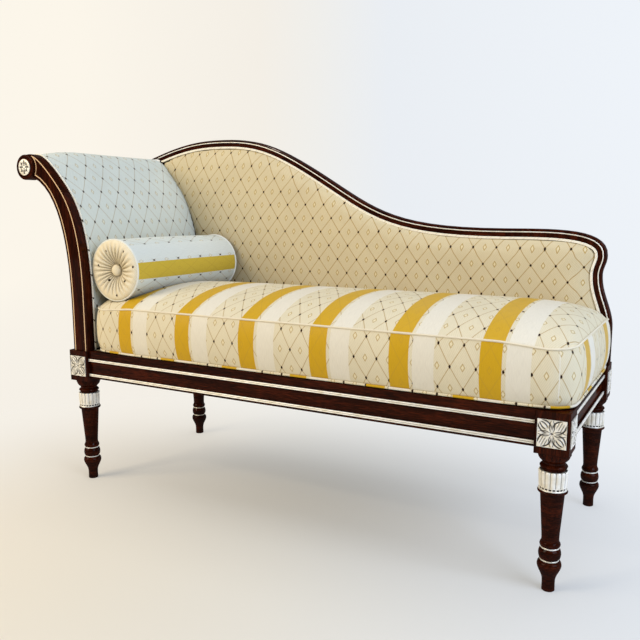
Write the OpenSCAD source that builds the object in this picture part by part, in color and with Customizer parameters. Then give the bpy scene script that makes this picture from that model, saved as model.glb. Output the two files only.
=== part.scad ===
/* [Overall] */
// Distance between the leg axes along the length
leg_span = 1260; // [1100:10:1500]
// Distance between the leg axes from front to back
leg_depth = 475; // [440:5:560]
// Height of the seat rails' top above the floor
seat_h = 371; // [350:1:400]

/* [Legs] */
// Side of the square corner block
block_w = 66; // [62:1:72]
// Height of the corner block
block_h = 84; // [80:1:92]
// Flat cut along the block's upright edges
block_edge = 1.5; // [0.5:0.5:3]
// Radius of the turned shaft at its top
shaft_r = 23.5; // [21:0.5:26]
// Height of the fluted cup with its collar
cup_h = 46; // [40:1:52]
// Height of the turned neck under the block
neck_h = 37; // [32:1:42]
// Number of flutes round each cup
flutes = 18; // [12:2:24]
// Radius of a flute
flute_r = 2.7; // [2:0.1:3.2]
// Radius of the spigot on top of each leg
spigot_r = 10; // [8:0.5:11]
// Length of the spigot above the shaft
spigot_l = 126; // [110:1:130]

/* [Rosette tiles] */
// Side of the square carved tile
tile_w = 54.5; // [48:0.5:57]
// Thickness of the tile's ground
tile_t = 3; // [2.5:0.5:4]
// Height of the carving above the ground
tile_relief = 1.5; // [1:0.5:2]
// Depth of the recess that takes the tile
tile_recess = 2; // [1:0.5:3]

/* [Seat frame] */
// Height of a seat rail
rail_h = 74; // [68:1:78]
// Thickness of a seat rail
rail_t = 30; // [26:1:32]
// How far the rail's face lies behind the block's face
rail_setback = 8.5; // [6:0.5:12]
// Height of a reeded bead
bead_h = 7; // [5:0.5:8]
// How far a bead stands out of the rail
bead_out = 2.75; // [2:0.25:4]
// Distance of the upper bead below the rail's top
bead_drop = 21; // [16:1:26]
// Distance of the lower bead above the rail's bottom
bead_lift = 5; // [3:1:8]
// Depth of the sunk field between the beads
field_sink = 3; // [1:0.5:4]
// Length of a rail tenon
tenon_l = 20; // [16:1:21]
// Thickness of a rail tenon
tenon_t = 12; // [10:1:13]
// Height of a rail tenon
tenon_h = 50; // [44:1:52]
// Width of the rebate for the webbing
rebate_w = 12; // [10:1:16]
// Depth of the rebate for the webbing
rebate_d = 6; // [5:0.5:8]
// Leg of the triangular corner brace
brace_l = 90; // [80:1:110]
// Height of a corner brace
brace_h = 48; // [40:1:52]
// Width of the middle cross bar
bar_w = 40; // [34:1:50]
// Height of the middle cross bar
bar_h = 34; // [28:1:40]
// Width of a webbing band
web_w = 60; // [50:1:64]
// Thickness of a webbing band
web_t = 1.5; // [1:0.25:2]
// Thickness of the dust cloth under the seat
cloth_t = 1.5; // [1:0.25:2]
// Radius of a post dowel
dowel_r = 5; // [4:0.5:5]
// Length of a post dowel
dowel_l = 36; // [30:1:40]
// Radius of a brace screw's shank
screw_r = 2.5; // [2:0.25:3]
// Length of a brace screw's shank
screw_l = 46; // [40:1:50]

/* [Arm] */
// Distance of the scroll's centre beyond the left leg axis
scroll_reach = 168; // [150:1:190]
// Distance of the scroll's centre below the crest's peak
scroll_drop = 100; // [80:1:130]
// Radius of the scroll
scroll_r = 34; // [32:0.5:38]
// Width of the arm's shaped board above the block
arm_board_w = 53; // [50:0.5:56]
// Thickness of the front board
arm_board_t = 24; // [20:1:28]
// How far the front board lies behind the block's face
arm_setback = 6.5; // [4:0.5:8]
// Width of an inlaid line
line_w = 3; // [2:0.5:4]
// Distance of the outer line from the board's outer edge at the foot
line_outer = 4; // [3:0.5:6]
// Distance of the outer line from the board's outer edge at the scroll
line_outer_top = 8; // [6:0.5:9]
// Distance of the inner line from the board's inner edge at the foot
line_inner = 7.5; // [6:0.5:10]
// Distance of the inner line from the board's inner edge at the scroll
line_inner_top = 3; // [2.5:0.5:5]
// Depth of an inlaid line
line_d = 2; // [1.5:0.5:3]
// How far the scroll's roundel stands out of the board
roundel_t = 7; // [6:0.5:12]
// Radius of the carved rosette on the roundel
rosette_r = 22; // [19:0.5:25]
// Thickness of the arm's padding
arm_pad_t = 20; // [18:1:22]
// Most by which the padding swells over the boards' edge
arm_swell = 16; // [10:1:20]
// Radius of the round core inside the scroll
core_r = 13; // [10:0.5:14]
// Thickness of the arm's outside panel
arm_panel_t = 3; // [2:0.5:4]

/* [Back] */
// Height of the crest's peak above the floor
crest_h = 967; // [940:1:1000]
// Thickness of the back frame from front to rear
back_t = 30; // [28:1:34]
// How far the back frame's rear lies before the blocks' rear face
back_setback = 12.5; // [10:0.5:14]
// Width of the show wood around the back
crest_w = 21; // [19:0.5:24]
// Radius of the crest's outer front edge
crest_front_r = 4; // [2:0.5:5]
// Radius of the crest's outer rear edge
crest_rear_r = 12; // [6:1:14]
// Distance of the silver line from the crest's outer edge
crest_line_in = 6; // [5:0.5:8]
// Width of the silver line along the crest
crest_line_w = 4.5; // [3:0.5:5]
// How far the silver line stands out of the crest
crest_line_out = 1.5; // [1:0.25:2.5]
// Width of the bead between the crest and the fabric
crest_bead_w = 6; // [4:0.5:8]
// Width of the tacking tongue behind the fabric
tongue_w = 18; // [14:1:20]
// Thickness of the tacking tongue
tongue_t = 16; // [14:1:18]
// Height of the back's bottom rail
back_rail_h = 40; // [34:1:50]
// Width of an upright inside the back
upright_w = 45; // [35:1:55]
// How far the back padding stands before the frame
back_swell = 14; // [8:1:15]

/* [Cushions] */
// Height of the seat cushion's border from bottom to seam
border_h = 124; // [110:1:135]
// Height of the crown above the seam
crown_h = 52; // [40:1:60]
// Radius of the cushion's front corners in plan
cushion_corner = 60; // [45:1:75]
// Radius of the cushion's back corners in plan
cushion_back_corner = 20; // [15:1:30]
// How far the cushion reaches past the right blocks
cushion_reach = 8; // [2:1:12]
// How far the border's belly stands out past the seam
belly = 8; // [4:0.5:12]
// Radius of the bolster
bolster_r = 81; // [74:0.5:86]
// Distance from the bolster's gathered rear end to the back
bolster_room = 9; // [4:1:20]
// How far the gathered ends swell out
end_swell = 11; // [6:0.5:11]
// Number of pleats in each gathered end
pleats = 16; // [12:1:20]
// Radius of an end button
button_r = 13; // [10:0.5:15]

/* [Hidden] */
$fn = 48;

// Gap between a soft piece and what it lies against
soft_gap = 0.4;
// Gap round a glued round joint
glue_gap = 0.1;
// Overrun of a cut past the face it opens
over = 1;
// Steps along each stretch of a flowing curve
steps = 14;
// Steps across a turned bead
bead_steps = 8;

// Places of the legs: the origin lies under the middle of the whole length
right_reach = block_w/2 + cushion_reach;
whole_l = scroll_r + scroll_reach + leg_span + right_reach;
left_x = scroll_r + scroll_reach - whole_l/2;
right_x = left_x + leg_span;
mid_x = (left_x + right_x)/2;
axis_y = leg_depth/2;

// Heights up the leg
block_z = seat_h - block_h;
cup_top = block_z - neck_h;
leg_h = cup_top - cup_h;

// Rail section, measured outwards from the leg axis
rail_out = block_w/2 - rail_setback;
rail_in = rail_out - rail_t;
rail_z = seat_h - rail_h;
tenon_z = rail_z + (rail_h - tenon_h)/2;
tenon_in = (rail_out + rail_in)/2 - tenon_t/2;
lower_bead_z = rail_z + bead_lift;
upper_bead_z = seat_h - bead_drop - bead_h;
brace_mid_z = rail_z + rail_h/2;
brace_deep = (brace_l/2 - rail_in - block_w/2)*sqrt(2);
screw_in_block = screw_l - brace_deep;

// Turned profile: from and to as shares of the height, radii and swell as shares of the radius
leg_turning_shares = [
    [0, 0.115, 0.55, 0.62, 0], [0.115, 0.30, 0.62, 0.68, 0.37], [0.30, 0.322, 0.64, 0.64, 0],
    [0.322, 0.345, 0.73, 0.74, 0], [0.345, 0.43, 0.74, 0.74, 0.15], [0.43, 0.452, 0.64, 0.64, 0],
    [0.452, 0.52, 0.70, 0.67, 0.13], [0.52, 1, 0.67, 1, 0]
];
ring_shares = [[0.30, 0.322], [0.43, 0.452]];
ring_groove_share = 0.64;
ring_out_share = 0.79;
cup_turning_shares = [
    [0, 0.04, 1.02, 1.08, 0], [0.04, 0.24, 1.08, 1.05, 0.17], [0.24, 0.32, 0.98, 0.98, 0],
    [0.32, 0.90, 0.98, 1.14, 0.02], [0.90, 1, 1.19, 1.15, 0.03]
];
flute_shares = [0.38, 0.86];
flute_bite_share = 0.55;
neck_turning_shares = [
    [0, 0.08, 0.96, 0.96, 0], [0.08, 0.34, 0.94, 0.94, 0.19], [0.34, 0.46, 0.91, 0.93, 0],
    [0.46, 0.84, 0.95, 1.30, 0.10], [0.84, 1, 1.36, 1.36, 0]
];

// Arm: the inner edge of its boards rises straight, then sweeps out to the scroll
board_in_x = left_x + block_w/2;
board_out_x = board_in_x - arm_board_w;
scroll_x = left_x - scroll_reach;
scroll_h = crest_h - scroll_drop;
arm_rise = scroll_h - seat_h;
arm_sweep = board_in_x - scroll_x;
inner_start_share = 0.28;
inner_knee_shares = [0.373, 0.889];
inner_handle_shares = [[0.42, 0.29], [0.90, 0.10]];
outer_start_share = 0.22;
outer_handle_share = [[0.35, 0.31]];
inner_knee_turn = 130;
outer_end_turn = 158;
outer_end_at = -48;
throat_w = 4;
wrap_from = 90;
wrap_to = 250;
front_y = -axis_y - block_w/2 + arm_setback;
board_back_y = front_y + arm_board_t;
arm_bead_t = 5;
arm_bead_out = 3;
arm_bead_in = 6;
pad_front_y = board_back_y + arm_bead_t + soft_gap;
arm_dowel_x = (board_in_x + board_out_x)/2;
front_dowel_y = -front_y - arm_board_t/2 - axis_y;
// Swell of the arm's padding along its section, as shares of the path and of the full swell
pad_swell_shares = [
    [0, -0.12], [0.12, -0.12], [0.20, -0.30], [0.30, -0.20], [0.42, 0.35], [0.52, 0.95], [0.62, 1], [0.70, 0.95],
    [0.80, 0.50], [0.90, 0.10], [1, 0]
];
pad_station_shares = [0, 0.03, 0.08, 0.15, 0.25, 0.5, 1];
pad_rise_share = 0.25;
arm_rail_from = arm_pad_t + web_t + 0.5*web_t;
arm_rail_w = 14;
bottom_rail_h = 40;
middle_rail_shares = [0.28, 0.36];
top_rail_shares = [0.50, 0.57];
arm_web_w = 50;
arm_web_shares = [0.1, 0.37, 0.63, 0.9];
panel_in = 2;

// Back: the crest's outer edge as shares of the back's length and rise, with its heading
foot_x = right_x + block_w/2;
back_l = foot_x - scroll_x;
back_rise = crest_h - seat_h;
crest_shares = [
    [0.001, 0.920, 17], [0.1838, 1, 0], [0.464, 0.780, -30.8], [0.8166, 0.553, 0],
    [0.9863, 0.4456, -90], [0.980, 0.3674, -90], [1, 0.149, -90], [1, 0, -90]
];
crest_handle_shares = [
    [0.372, 0.368], [0.363, 0.515], [0.324, 0.572], [0.499, 0.267], [0.421, 0.365], [0.368, 0.36], [0.33, 0.33]
];
frame_y = axis_y + block_w/2 - back_setback - back_t;
tongue_y = frame_y + (back_t - tongue_t)*2/3;
tongue_rear = tongue_y + tongue_t;
back_mid_y = frame_y + back_t/2;
crest_bead_out = 3;
pad_rear_y = tongue_y - 2*web_t;
back_pad_y = frame_y - back_swell;
pad_edge_out = 2;
pad_edge_gap = 1.8;
arm_pad_rear_y = frame_y - soft_gap;
upright_places_shares = [0.30, 0.62];
back_web_shares = [0.15, 0.225, 0.38, 0.46, 0.54, 0.70, 0.78, 0.86];
back_web_levels_shares = [0.16, 0.34];
pad_u = 32;
pad_v = 16;

// Seat cushion: sides and depth between the padding and the blocks' faces
cushion_left = board_in_x + arm_bead_out/2;
cushion_right = foot_x + cushion_reach;
cushion_front = -axis_y - block_w/2 + 0.5*over;
cushion_rear = back_pad_y - soft_gap;
cushion_z = seat_h + soft_gap;
seam_z = cushion_z + border_h;
cushion_hx = (cushion_right - cushion_left)/2;
cushion_hy = (cushion_rear - cushion_front)/2;
cushion_cx = (cushion_right + cushion_left)/2;
cushion_cy = (cushion_rear + cushion_front)/2;
cushion_x_shares = [
    0, 0.008, 0.02, 0.032, 0.044, 0.056, 0.068, 0.08, 0.092, 0.104, 0.114, 0.124, 0.135, 0.16, 0.22, 0.32,
    0.42, 0.52, 0.62, 0.72, 0.80, 0.87, 0.925, 0.965, 0.985, 1
];
cushion_y_shares = [0, 0.02, 0.05, 0.10, 0.17, 0.27, 0.39, 0.5, 0.61, 0.73, 0.83, 0.90, 0.95, 0.98, 1];
// Border: inset as a share of the belly, and height as a share of the border
border_shares = [[0.45, 0.90], [0, 0.62], [0, 0.34], [0.5, 0.06], [1.1, 0]];

// Bolster: lies along the arm on the pressed crown
bolster_front_share = 0.16;
bolster_rise_share = 0.3;
bolster_x = board_in_x + bolster_r + arm_bead_out/2;
bolster_z = seam_z + bolster_r + bolster_rise_share*crown_h;
bolster_front = cushion_front + bolster_front_share*cushion_hy;
bolster_l = cushion_rear - bolster_room - end_swell - bolster_front;
bolster_rings_shares = [0, 0.02, 0.2, 0.5, 0.8, 0.98, 1];
bolster_swell_share = 0.03;
// Gathered end: radius, swell and pleat depth as shares, from the seam to the button
end_shares = [
    [0.97, 0.35, 0], [0.90, 0.80, 0.4], [0.76, 1, 0.8], [0.56, 0.85, 1], [0.36, 0.35, 1], [0.22, -0.2, 0.7],
    [(button_r + soft_gap)/bolster_r, -0.45, 0]
];
pleat_d = 2.5;

// Point on a cubic curve
function curve(a, b, c, d, t) =
    pow(1 - t, 3)*a + 3*pow(1 - t, 2)*t*b + 3*(1 - t)*t*t*c + pow(t, 3)*d;
function heading(turn) = [cos(turn), sin(turn)];
function place(row) = [row.x, row.y];

// Smooth path through nodes of [x, z, heading], with handles as shares of each stretch
function flow(nodes, handles) = [
    for (i = [0:len(nodes) - 2])
        let (p = place(nodes[i]), q = place(nodes[i + 1]), d = norm(q - p))
        for (k = [(i == 0 ? 0 : 1):steps])
            curve(p, p + handles[i].x*d*heading(nodes[i].z), q - handles[i].y*d*heading(nodes[i + 1].z), q, k/steps)
];

// Left-hand normal of a path at a point, and the path moved along its normals
function normal(path, i) =
    let (a = path[max(i - 1, 0)], b = path[min(i + 1, len(path) - 1)], t = (b - a)/norm(b - a))
    [-t.y, t.x];
function beside(path, d) = [for (i = [0:len(path) - 1]) path[i] + d*normal(path, i)];
function beside_taper(path, a, b) = [
    for (i = [0:len(path) - 1]) path[i] + (a + (b - a)*i/(len(path) - 1))*normal(path, i)
];
function reversed(list) = [for (i = [len(list) - 1:-1:0]) list[i]];
function part(list, from, to) = [for (i = [from:to]) list[i]];
function at(path, share) =
    let (k = share*(len(path) - 1), i = min(floor(k), len(path) - 2))
    path[i] + (k - i)*(path[i + 1] - path[i]);
function stretch(path, from, to) = part(path, round(from*(len(path) - 1)), round(to*(len(path) - 1)));
function distinct(points) = [
    for (i = [0:len(points) - 1]) if (i == 0 || norm(points[i] - points[max(i - 1, 0)]) > 0) points[i]
];

// Turned profile from rows of shares, as [radius, height] points
function turning(rows, h, r, z) = distinct([
    for (row = rows)
        let (n = row[4] == 0 ? 1 : bead_steps)
        for (i = [0:n])
            [r*(row[2] + (row[3] - row[2])*i/n + row[4]*sin(180*i/n)), z + h*(row[0] + (row[1] - row[0])*i/n)]
]);

arm_edge = concat(
    [[board_in_x, seat_h]],
    flow(
        [
            [board_in_x, seat_h + inner_start_share*arm_rise, 90],
            [board_in_x - inner_knee_shares.x*arm_sweep, seat_h + inner_knee_shares.y*arm_rise, inner_knee_turn],
            [scroll_x, scroll_h + scroll_r, 180]
        ],
        inner_handle_shares
    )
);
outer_edge = concat(
    [[board_out_x, seat_h]],
    flow(
        [
            [board_out_x, seat_h + outer_start_share*arm_rise, 90],
            concat([scroll_x, scroll_h] + (scroll_r + throat_w)*heading(outer_end_at), [outer_end_turn])
        ],
        outer_handle_share
    )
);
wrap = [
    for (k = [1:steps])
        [scroll_x, scroll_h] + scroll_r*heading(wrap_from + (wrap_to - wrap_from)*k/steps)
];
arm_section = concat(
    [for (k = [0:3]) arm_edge[0] + (arm_edge[1] - arm_edge[0])*k/4],
    part(arm_edge, 1, len(arm_edge) - 1), wrap
);
function swell_at(i) = arm_swell*lookup(i/(len(arm_section) - 1), pad_swell_shares);
arm_full = [for (i = [0:len(arm_section) - 1]) arm_section[i] - swell_at(i)*normal(arm_section, i)];
// Line that the back padding keeps to: clear of the arm's padding and of its boards
arm_clear = [
    for (i = [0:len(arm_section) - 1 - steps])
        arm_section[i] - (max(swell_at(i), 0) + pad_edge_gap)*normal(arm_section, i)
];

crest_edge_line = flow(
    [for (row = crest_shares) [scroll_x + row.x*back_l, seat_h + row.y*back_rise, row.z]],
    crest_handle_shares
);
hump_end = 2*steps;
sweep_end = 3*steps;

// Outline of the back inside a crest offset, beside the arm's path moved by a gap
function below_crest(inset) = beside(crest_edge_line, -inset);
function back_top(inset, side) =
    [for (p = below_crest(inset))
        if (p.x > board_in_x || (p.x > scroll_x + scroll_r && p.y > lookup(p.x, side))) p];
function back_side(inset, side) =
    let (crest = part(below_crest(inset), 0, hump_end))
    [for (p = side) if (p.x > scroll_x + scroll_r && p.y < lookup(p.x, crest)) p];

module along_x(from, to) {
    translate([from, 0, 0]) rotate([90, 0, 90]) linear_extrude(to - from) children();
}
module along_y(from, to) {
    translate([0, to, 0]) rotate([90, 0, 0]) linear_extrude(to - from) children();
}
module ribbon(path, a, b, from = 0, to = 1) {
    polygon(concat(stretch(beside(path, a), from, to), reversed(stretch(beside(path, b), from, to))));
}
module box(from, to) {
    translate(from) cube(to - from);
}

// Closed solid between two grids of points, with optional loops round its side
module stuffed(face, rear, loops = []) {
    nu = len(face);
    nv = len(face[0]);
    rim = concat(
        [for (i = [0:nu - 2]) [i, 0]], [for (j = [0:nv - 2]) [nu - 1, j]],
        [for (i = [nu - 1:-1:1]) [i, nv - 1]], [for (j = [nv - 1:-1:1]) [0, j]]
    );
    n = len(rim);
    face_points = [for (row = face) for (p = row) p];
    rear_points = [for (row = rear) for (p = row) p];
    loop_points = [for (loop = loops) for (ij = rim) loop[ij.x][ij.y]];
    rear_at = nu*nv + len(loop_points);
    m = len(loops);
    function id(level, k) =
        level == 0 ? rim[k % n].x*nv + rim[k % n].y
        : level <= m ? nu*nv + (level - 1)*n + k % n
        : rear_at + rim[k % n].x*nv + rim[k % n].y;
    face_tris = [
        for (i = [0:nu - 2]) for (j = [0:nv - 2])
            let (a = i*nv + j, b = (i + 1)*nv + j)
            each [[a, b + 1, b], [a, a + 1, b + 1]]
    ];
    rear_tris = [for (t = face_tris) [rear_at + t[0], rear_at + t[2], rear_at + t[1]]];
    side_tris = [
        for (level = [0:m]) for (k = [0:n - 1])
            each [[id(level, k), id(level, k + 1), id(level + 1, k)],
                [id(level, k + 1), id(level + 1, k + 1), id(level + 1, k)]]
    ];
    polyhedron(concat(face_points, loop_points, rear_points), concat(face_tris, side_tris, rear_tris), convexity = 8);
}

// Puts a corner's piece at its leg, with x and y turned so that both point outwards
module at_leg(side, end) {
    translate([side > 0 ? right_x : left_x, end*axis_y, 0])
        mirror([side > 0 ? 0 : 1, 0, 0]) mirror([0, end > 0 ? 0 : 1, 0]) children();
}

module corner_block(side, end) {
    half = block_w/2;
    color("#3a1c12") at_leg(side, end) difference() {
        union() {
            translate([0, 0, block_z]) linear_extrude(block_h) polygon([
                [half - block_edge, -half], [half, block_edge - half], [half, half - block_edge],
                [half - block_edge, half], [block_edge - half, half], [-half, half - block_edge],
                [-half, block_edge - half], [block_edge - half, -half]
            ]);
            rotate_extrude() polygon(concat(
                [[0, cup_top]], turning(neck_turning_shares, neck_h, shaft_r, cup_top), [[0, block_z]]
            ));
        }
        translate([0, 0, cup_top - over])
            cylinder(r = spigot_r + glue_gap, h = leg_h + spigot_l + over - cup_top + over);
        box([-half - over, tenon_in, tenon_z], [tenon_l - half, tenon_in + tenon_t, tenon_z + tenon_h]);
        box([tenon_in, -half - over, tenon_z], [tenon_in + tenon_t, tenon_l - half, tenon_z + tenon_h]);
        tile_cut([half, 0], -90);
        if (end < 0) tile_cut([0, half], 0);
        translate([-half, -half, brace_mid_z]) rotate([0, 90, 45])
            cylinder(r = screw_r + glue_gap, h = screw_in_block);
        if (side < 0) dowel_hole([left_x - arm_dowel_x, end > 0 ? back_mid_y - axis_y : front_dowel_y]);
        if (side > 0 && end > 0) dowel_hole([foot_x - crest_w/2 - right_x, back_mid_y - axis_y]);
    }
}
module tile_cut(spot, turn) {
    translate([spot.x, spot.y, block_z + block_h/2]) rotate([0, 0, turn])
        box([-tile_w/2, -tile_recess, -tile_w/2], [tile_w/2, over, tile_w/2]);
}
module dowel_hole(spot) {
    translate([spot.x, spot.y, seat_h - dowel_l/2]) cylinder(r = dowel_r + glue_gap, h = dowel_l/2 + over);
}

module leg(side, end) {
    color("#3a1c12") at_leg(side, end) {
        rotate_extrude() polygon(concat(
            [[0, 0]], turning(leg_turning_shares, leg_h, shaft_r, 0), [[0, leg_h]]
        ));
        translate([0, 0, leg_h - over]) cylinder(r = spigot_r, h = over + spigot_l);
    }
}

module fluted_cup(side, end) {
    from = flute_shares[0]*cup_h;
    lean = atan((cup_turning_shares[3][3] - cup_turning_shares[3][2])*shaft_r/(0.58*cup_h));
    out = cup_turning_shares[3][2]*shaft_r + flute_bite_share*flute_r;
    color("#d9d5c8") at_leg(side, end) difference() {
        rotate_extrude() polygon(concat(
            [[0, leg_h]], turning(cup_turning_shares, cup_h, shaft_r, leg_h), [[0, cup_top]]
        ));
        translate([0, 0, leg_h - over]) cylinder(r = spigot_r + glue_gap, h = cup_h + 2*over);
        for (k = [0:flutes - 1])
            rotate([0, 0, 360*k/flutes]) translate([out, 0, leg_h + from]) rotate([0, lean, 0])
                cylinder(r = flute_r, h = (flute_shares[1] - flute_shares[0])*cup_h, $fn = 16);
    }
}

module leg_rings() {
    color("#d9d5c8") for (side = [-1, 1], end = [-1, 1], row = ring_shares)
        at_leg(side, end) rotate_extrude() polygon([
            [ring_groove_share*shaft_r, row[0]*leg_h], [ring_out_share*shaft_r, row[0]*leg_h],
            [ring_out_share*shaft_r, row[1]*leg_h], [ring_groove_share*shaft_r, row[1]*leg_h]
        ]);
}

// Square tile carved with four petals, four leaves between them and a button
module rosette_tile(spot, turn) {
    petal_r = 0.24*tile_w;
    color("#d9d5c8") translate([spot.x, spot.y, block_z + block_h/2]) rotate([0, 0, turn])
        rotate([90, 0, 0]) translate([0, 0, -tile_recess]) {
            translate([-tile_w/2, -tile_w/2, 0]) cube([tile_w, tile_w, tile_t]);
            translate([0, 0, tile_t]) linear_extrude(tile_relief) {
                for (k = [0:3]) rotate(90*k) {
                    intersection() {
                        translate([petal_r/2, petal_r]) circle(petal_r, $fn = 24);
                        translate([-petal_r/2, petal_r]) circle(petal_r, $fn = 24);
                    }
                    rotate(45) intersection() {
                        translate([petal_r*0.7, petal_r*1.3]) circle(petal_r*1.1, $fn = 24);
                        translate([-petal_r*0.7, petal_r*1.3]) circle(petal_r*1.1, $fn = 24);
                    }
                }
                circle(petal_r*0.36, $fn = 24);
            }
        }
}

// One seat rail with its tenons, laid along x on the front and turned to its side
module seat_rail(span, depth, turn) {
    l = span/2 - block_w/2;
    y_out = -depth - rail_out;
    y_in = -depth - rail_in;
    color("#3a1c12") translate([mid_x, 0, 0]) rotate([0, 0, turn]) {
        along_x(-l, l) polygon([
            [y_in, rail_z], [y_out, rail_z], [y_out, lower_bead_z + bead_h],
            [y_out + field_sink, lower_bead_z + bead_h], [y_out + field_sink, upper_bead_z],
            [y_out, upper_bead_z], [y_out, seat_h], [y_in - rebate_w, seat_h],
            [y_in - rebate_w, seat_h - rebate_d], [y_in, seat_h - rebate_d]
        ]);
        for (s = [-1, 1]) box(
            [s < 0 ? -l - tenon_l : l, -depth - tenon_in - tenon_t, tenon_z],
            [s < 0 ? -l : l + tenon_l, -depth - tenon_in, tenon_z + tenon_h]
        );
    }
}

module rail_beads(span, depth, turn) {
    l = span/2 - block_w/2;
    reed_r = bead_h/4;
    color("#d9d5c8") translate([mid_x, 0, 0]) rotate([0, 0, turn])
        along_x(-l, l) for (z = [lower_bead_z, upper_bead_z]) translate([-depth - rail_out, z]) {
            translate([reed_r - bead_out, 0]) square([bead_out - reed_r, bead_h]);
            intersection() {
                for (k = [1, 3]) translate([reed_r - bead_out, k*reed_r]) circle(reed_r, $fn = 16);
                translate([-bead_out, 0]) square([bead_out, bead_h]);
            }
        }
}

module corner_braces() {
    half = block_w/2;
    color("#b08a5a") for (side = [-1, 1], end = [-1, 1]) at_leg(side, end) difference() {
        translate([0, 0, brace_mid_z - brace_h/2]) linear_extrude(brace_h) polygon([
            [-half, rail_in], [rail_in - brace_l, rail_in], [rail_in, rail_in - brace_l],
            [rail_in, -half], [-half, -half]
        ]);
        translate([-half, -half, brace_mid_z]) rotate([0, 90, 225]) translate([0, 0, -2*screw_r])
            cylinder(r = screw_r + glue_gap, h = brace_l);
    }
}

module brace_screws() {
    head_r = 2*screw_r;
    middle = rail_in - brace_l/2;
    color("#9a9a9a") for (side = [-1, 1], end = [-1, 1]) at_leg(side, end)
        translate([middle, middle, brace_mid_z]) rotate([0, 90, 45]) {
            translate([0, 0, -screw_r]) cylinder(r = head_r, h = screw_r);
            cylinder(r = screw_r, h = screw_l);
        }
}

module middle_cross_bar() {
    y = axis_y + rail_in;
    color("#b08a5a") box(
        [mid_x - bar_w/2, -y, seat_h - rebate_d - bar_h],
        [mid_x + bar_w/2, y, seat_h - rebate_d]
    );
}

module seat_webbing_long() {
    x = leg_span/2 + rail_in + rebate_w;
    n = floor((leg_depth - block_w)/(web_w*1.5));
    gap = (leg_depth - block_w)/n;
    color("#8c7a5a") for (k = [0:n - 1]) translate([mid_x, (k + 0.5 - n/2)*gap, seat_h - rebate_d])
        box([-x, -web_w/2, 0], [x, web_w/2, web_t]);
}

module seat_webbing_cross() {
    y = axis_y + rail_in + rebate_w;
    n = floor((leg_span - block_w)/(web_w*1.6));
    gap = (leg_span - block_w)/n;
    color("#8c7a5a") for (k = [0:n - 1]) translate([mid_x + (k + 0.5 - n/2)*gap, 0, seat_h - rebate_d + web_t])
        box([-web_w/2, -y, 0], [web_w/2, y, web_t]);
}

module deck_cloth() {
    x = leg_span/2 + rail_in + rebate_w;
    y = axis_y + rail_in + rebate_w;
    half = block_w/2;
    color("#c9c0a8") translate([mid_x, 0, 0]) difference() {
        box([-x, -y, seat_h - rebate_d + 2*web_t], [x, y, seat_h]);
        for (s = [-1, 1], e = [-1, 1])
            translate([s*leg_span/2, e*axis_y, seat_h - rebate_d]) box([-half, -half, 0], [half, half, rebate_d + over]);
    }
}

module dust_cloth() {
    x = leg_span/2 + rail_out - rebate_w/2;
    y = axis_y + rail_out - rebate_w/2;
    half = block_w/2;
    color("#1a1a1a") translate([mid_x, 0, 0]) difference() {
        box([-x, -y, rail_z - cloth_t], [x, y, rail_z]);
        for (s = [-1, 1], e = [-1, 1])
            translate([s*leg_span/2, e*axis_y, rail_z - cloth_t - over])
                box([-half, -half, 0], [half, half, cloth_t + 2*over]);
    }
}

module post_dowels() {
    spots = [
        [arm_dowel_x, front_y + arm_board_t/2], [arm_dowel_x, back_mid_y], [foot_x - crest_w/2, back_mid_y]
    ];
    color("#b08a5a") for (p = spots) translate([p.x, p.y, seat_h - dowel_l/2]) cylinder(r = dowel_r, h = dowel_l);
}

// An arm board: between its two edges, ending in the round scroll
module arm_board(from, to) {
    union() {
        along_y(from, to) polygon(concat(outer_edge, [[scroll_x, scroll_h]], reversed(arm_edge)));
        along_y(from, to) translate([scroll_x, scroll_h]) circle(scroll_r);
    }
}

// Panel that the inlaid lines frame, drawn in by one more line's width for its inner edge
module arm_panel(more) {
    difference() {
        polygon(concat(
            beside_taper(outer_edge, -line_outer - more, -line_outer_top - more),
            reversed(beside_taper(arm_edge, line_inner + more, line_inner_top + more))
        ));
        translate([scroll_x, scroll_h]) circle(scroll_r + line_outer/2 + more);
    }
}

module arm_board_front() {
    color("#3a1c12") difference() {
        arm_board(front_y, board_back_y);
        along_y(front_y - over, front_y + line_d) arm_lines();
        translate([arm_dowel_x, front_y + arm_board_t/2, seat_h - over])
            cylinder(r = dowel_r + glue_gap, h = dowel_l/2 + over);
    }
}
module arm_lines() {
    difference() {
        arm_panel(0);
        arm_panel(line_w);
    }
}
module arm_inlay() {
    color("#d8b98a") along_y(front_y, front_y + line_d) arm_lines();
}

module arm_board_back() {
    color("#3a1c12") difference() {
        union() {
            arm_board(frame_y, frame_y + back_t);
            along_y(tongue_y, tongue_rear) ribbon(arm_edge, over, -tongue_w, 0, 0.8);
        }
        translate([arm_dowel_x, back_mid_y, seat_h - over])
            cylinder(r = dowel_r + glue_gap, h = dowel_l/2 + over);
    }
}

module scroll_roundel() {
    edge = roundel_t/3;
    color("#3a1c12") translate([scroll_x, front_y, scroll_h]) rotate([90, 0, 0]) rotate_extrude() polygon(concat(
        [[0, 0], [scroll_r, 0]],
        [for (k = [0:4]) [scroll_r - edge, roundel_t - edge] + edge*heading(90*k/4)],
        [[0, roundel_t]]
    ));
}

module scroll_rosette() {
    petal_r = 0.42*rosette_r;
    color("#d9d5c8") translate([scroll_x, front_y - roundel_t, scroll_h]) rotate([90, 0, 0]) {
        cylinder(r = rosette_r, h = tile_relief);
        translate([0, 0, tile_relief]) linear_extrude(tile_relief) {
            for (k = [0:7]) rotate(45*k) translate([0, rosette_r*0.58]) circle(petal_r*0.75, $fn = 24);
            circle(petal_r*0.6, $fn = 24);
        }
    }
}

module arm_bead() {
    color("#d9d5c8") along_y(board_back_y, board_back_y + arm_bead_t)
        ribbon(part(arm_section, 0, len(arm_section) - steps), -arm_bead_out, arm_bead_in);
}

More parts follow.
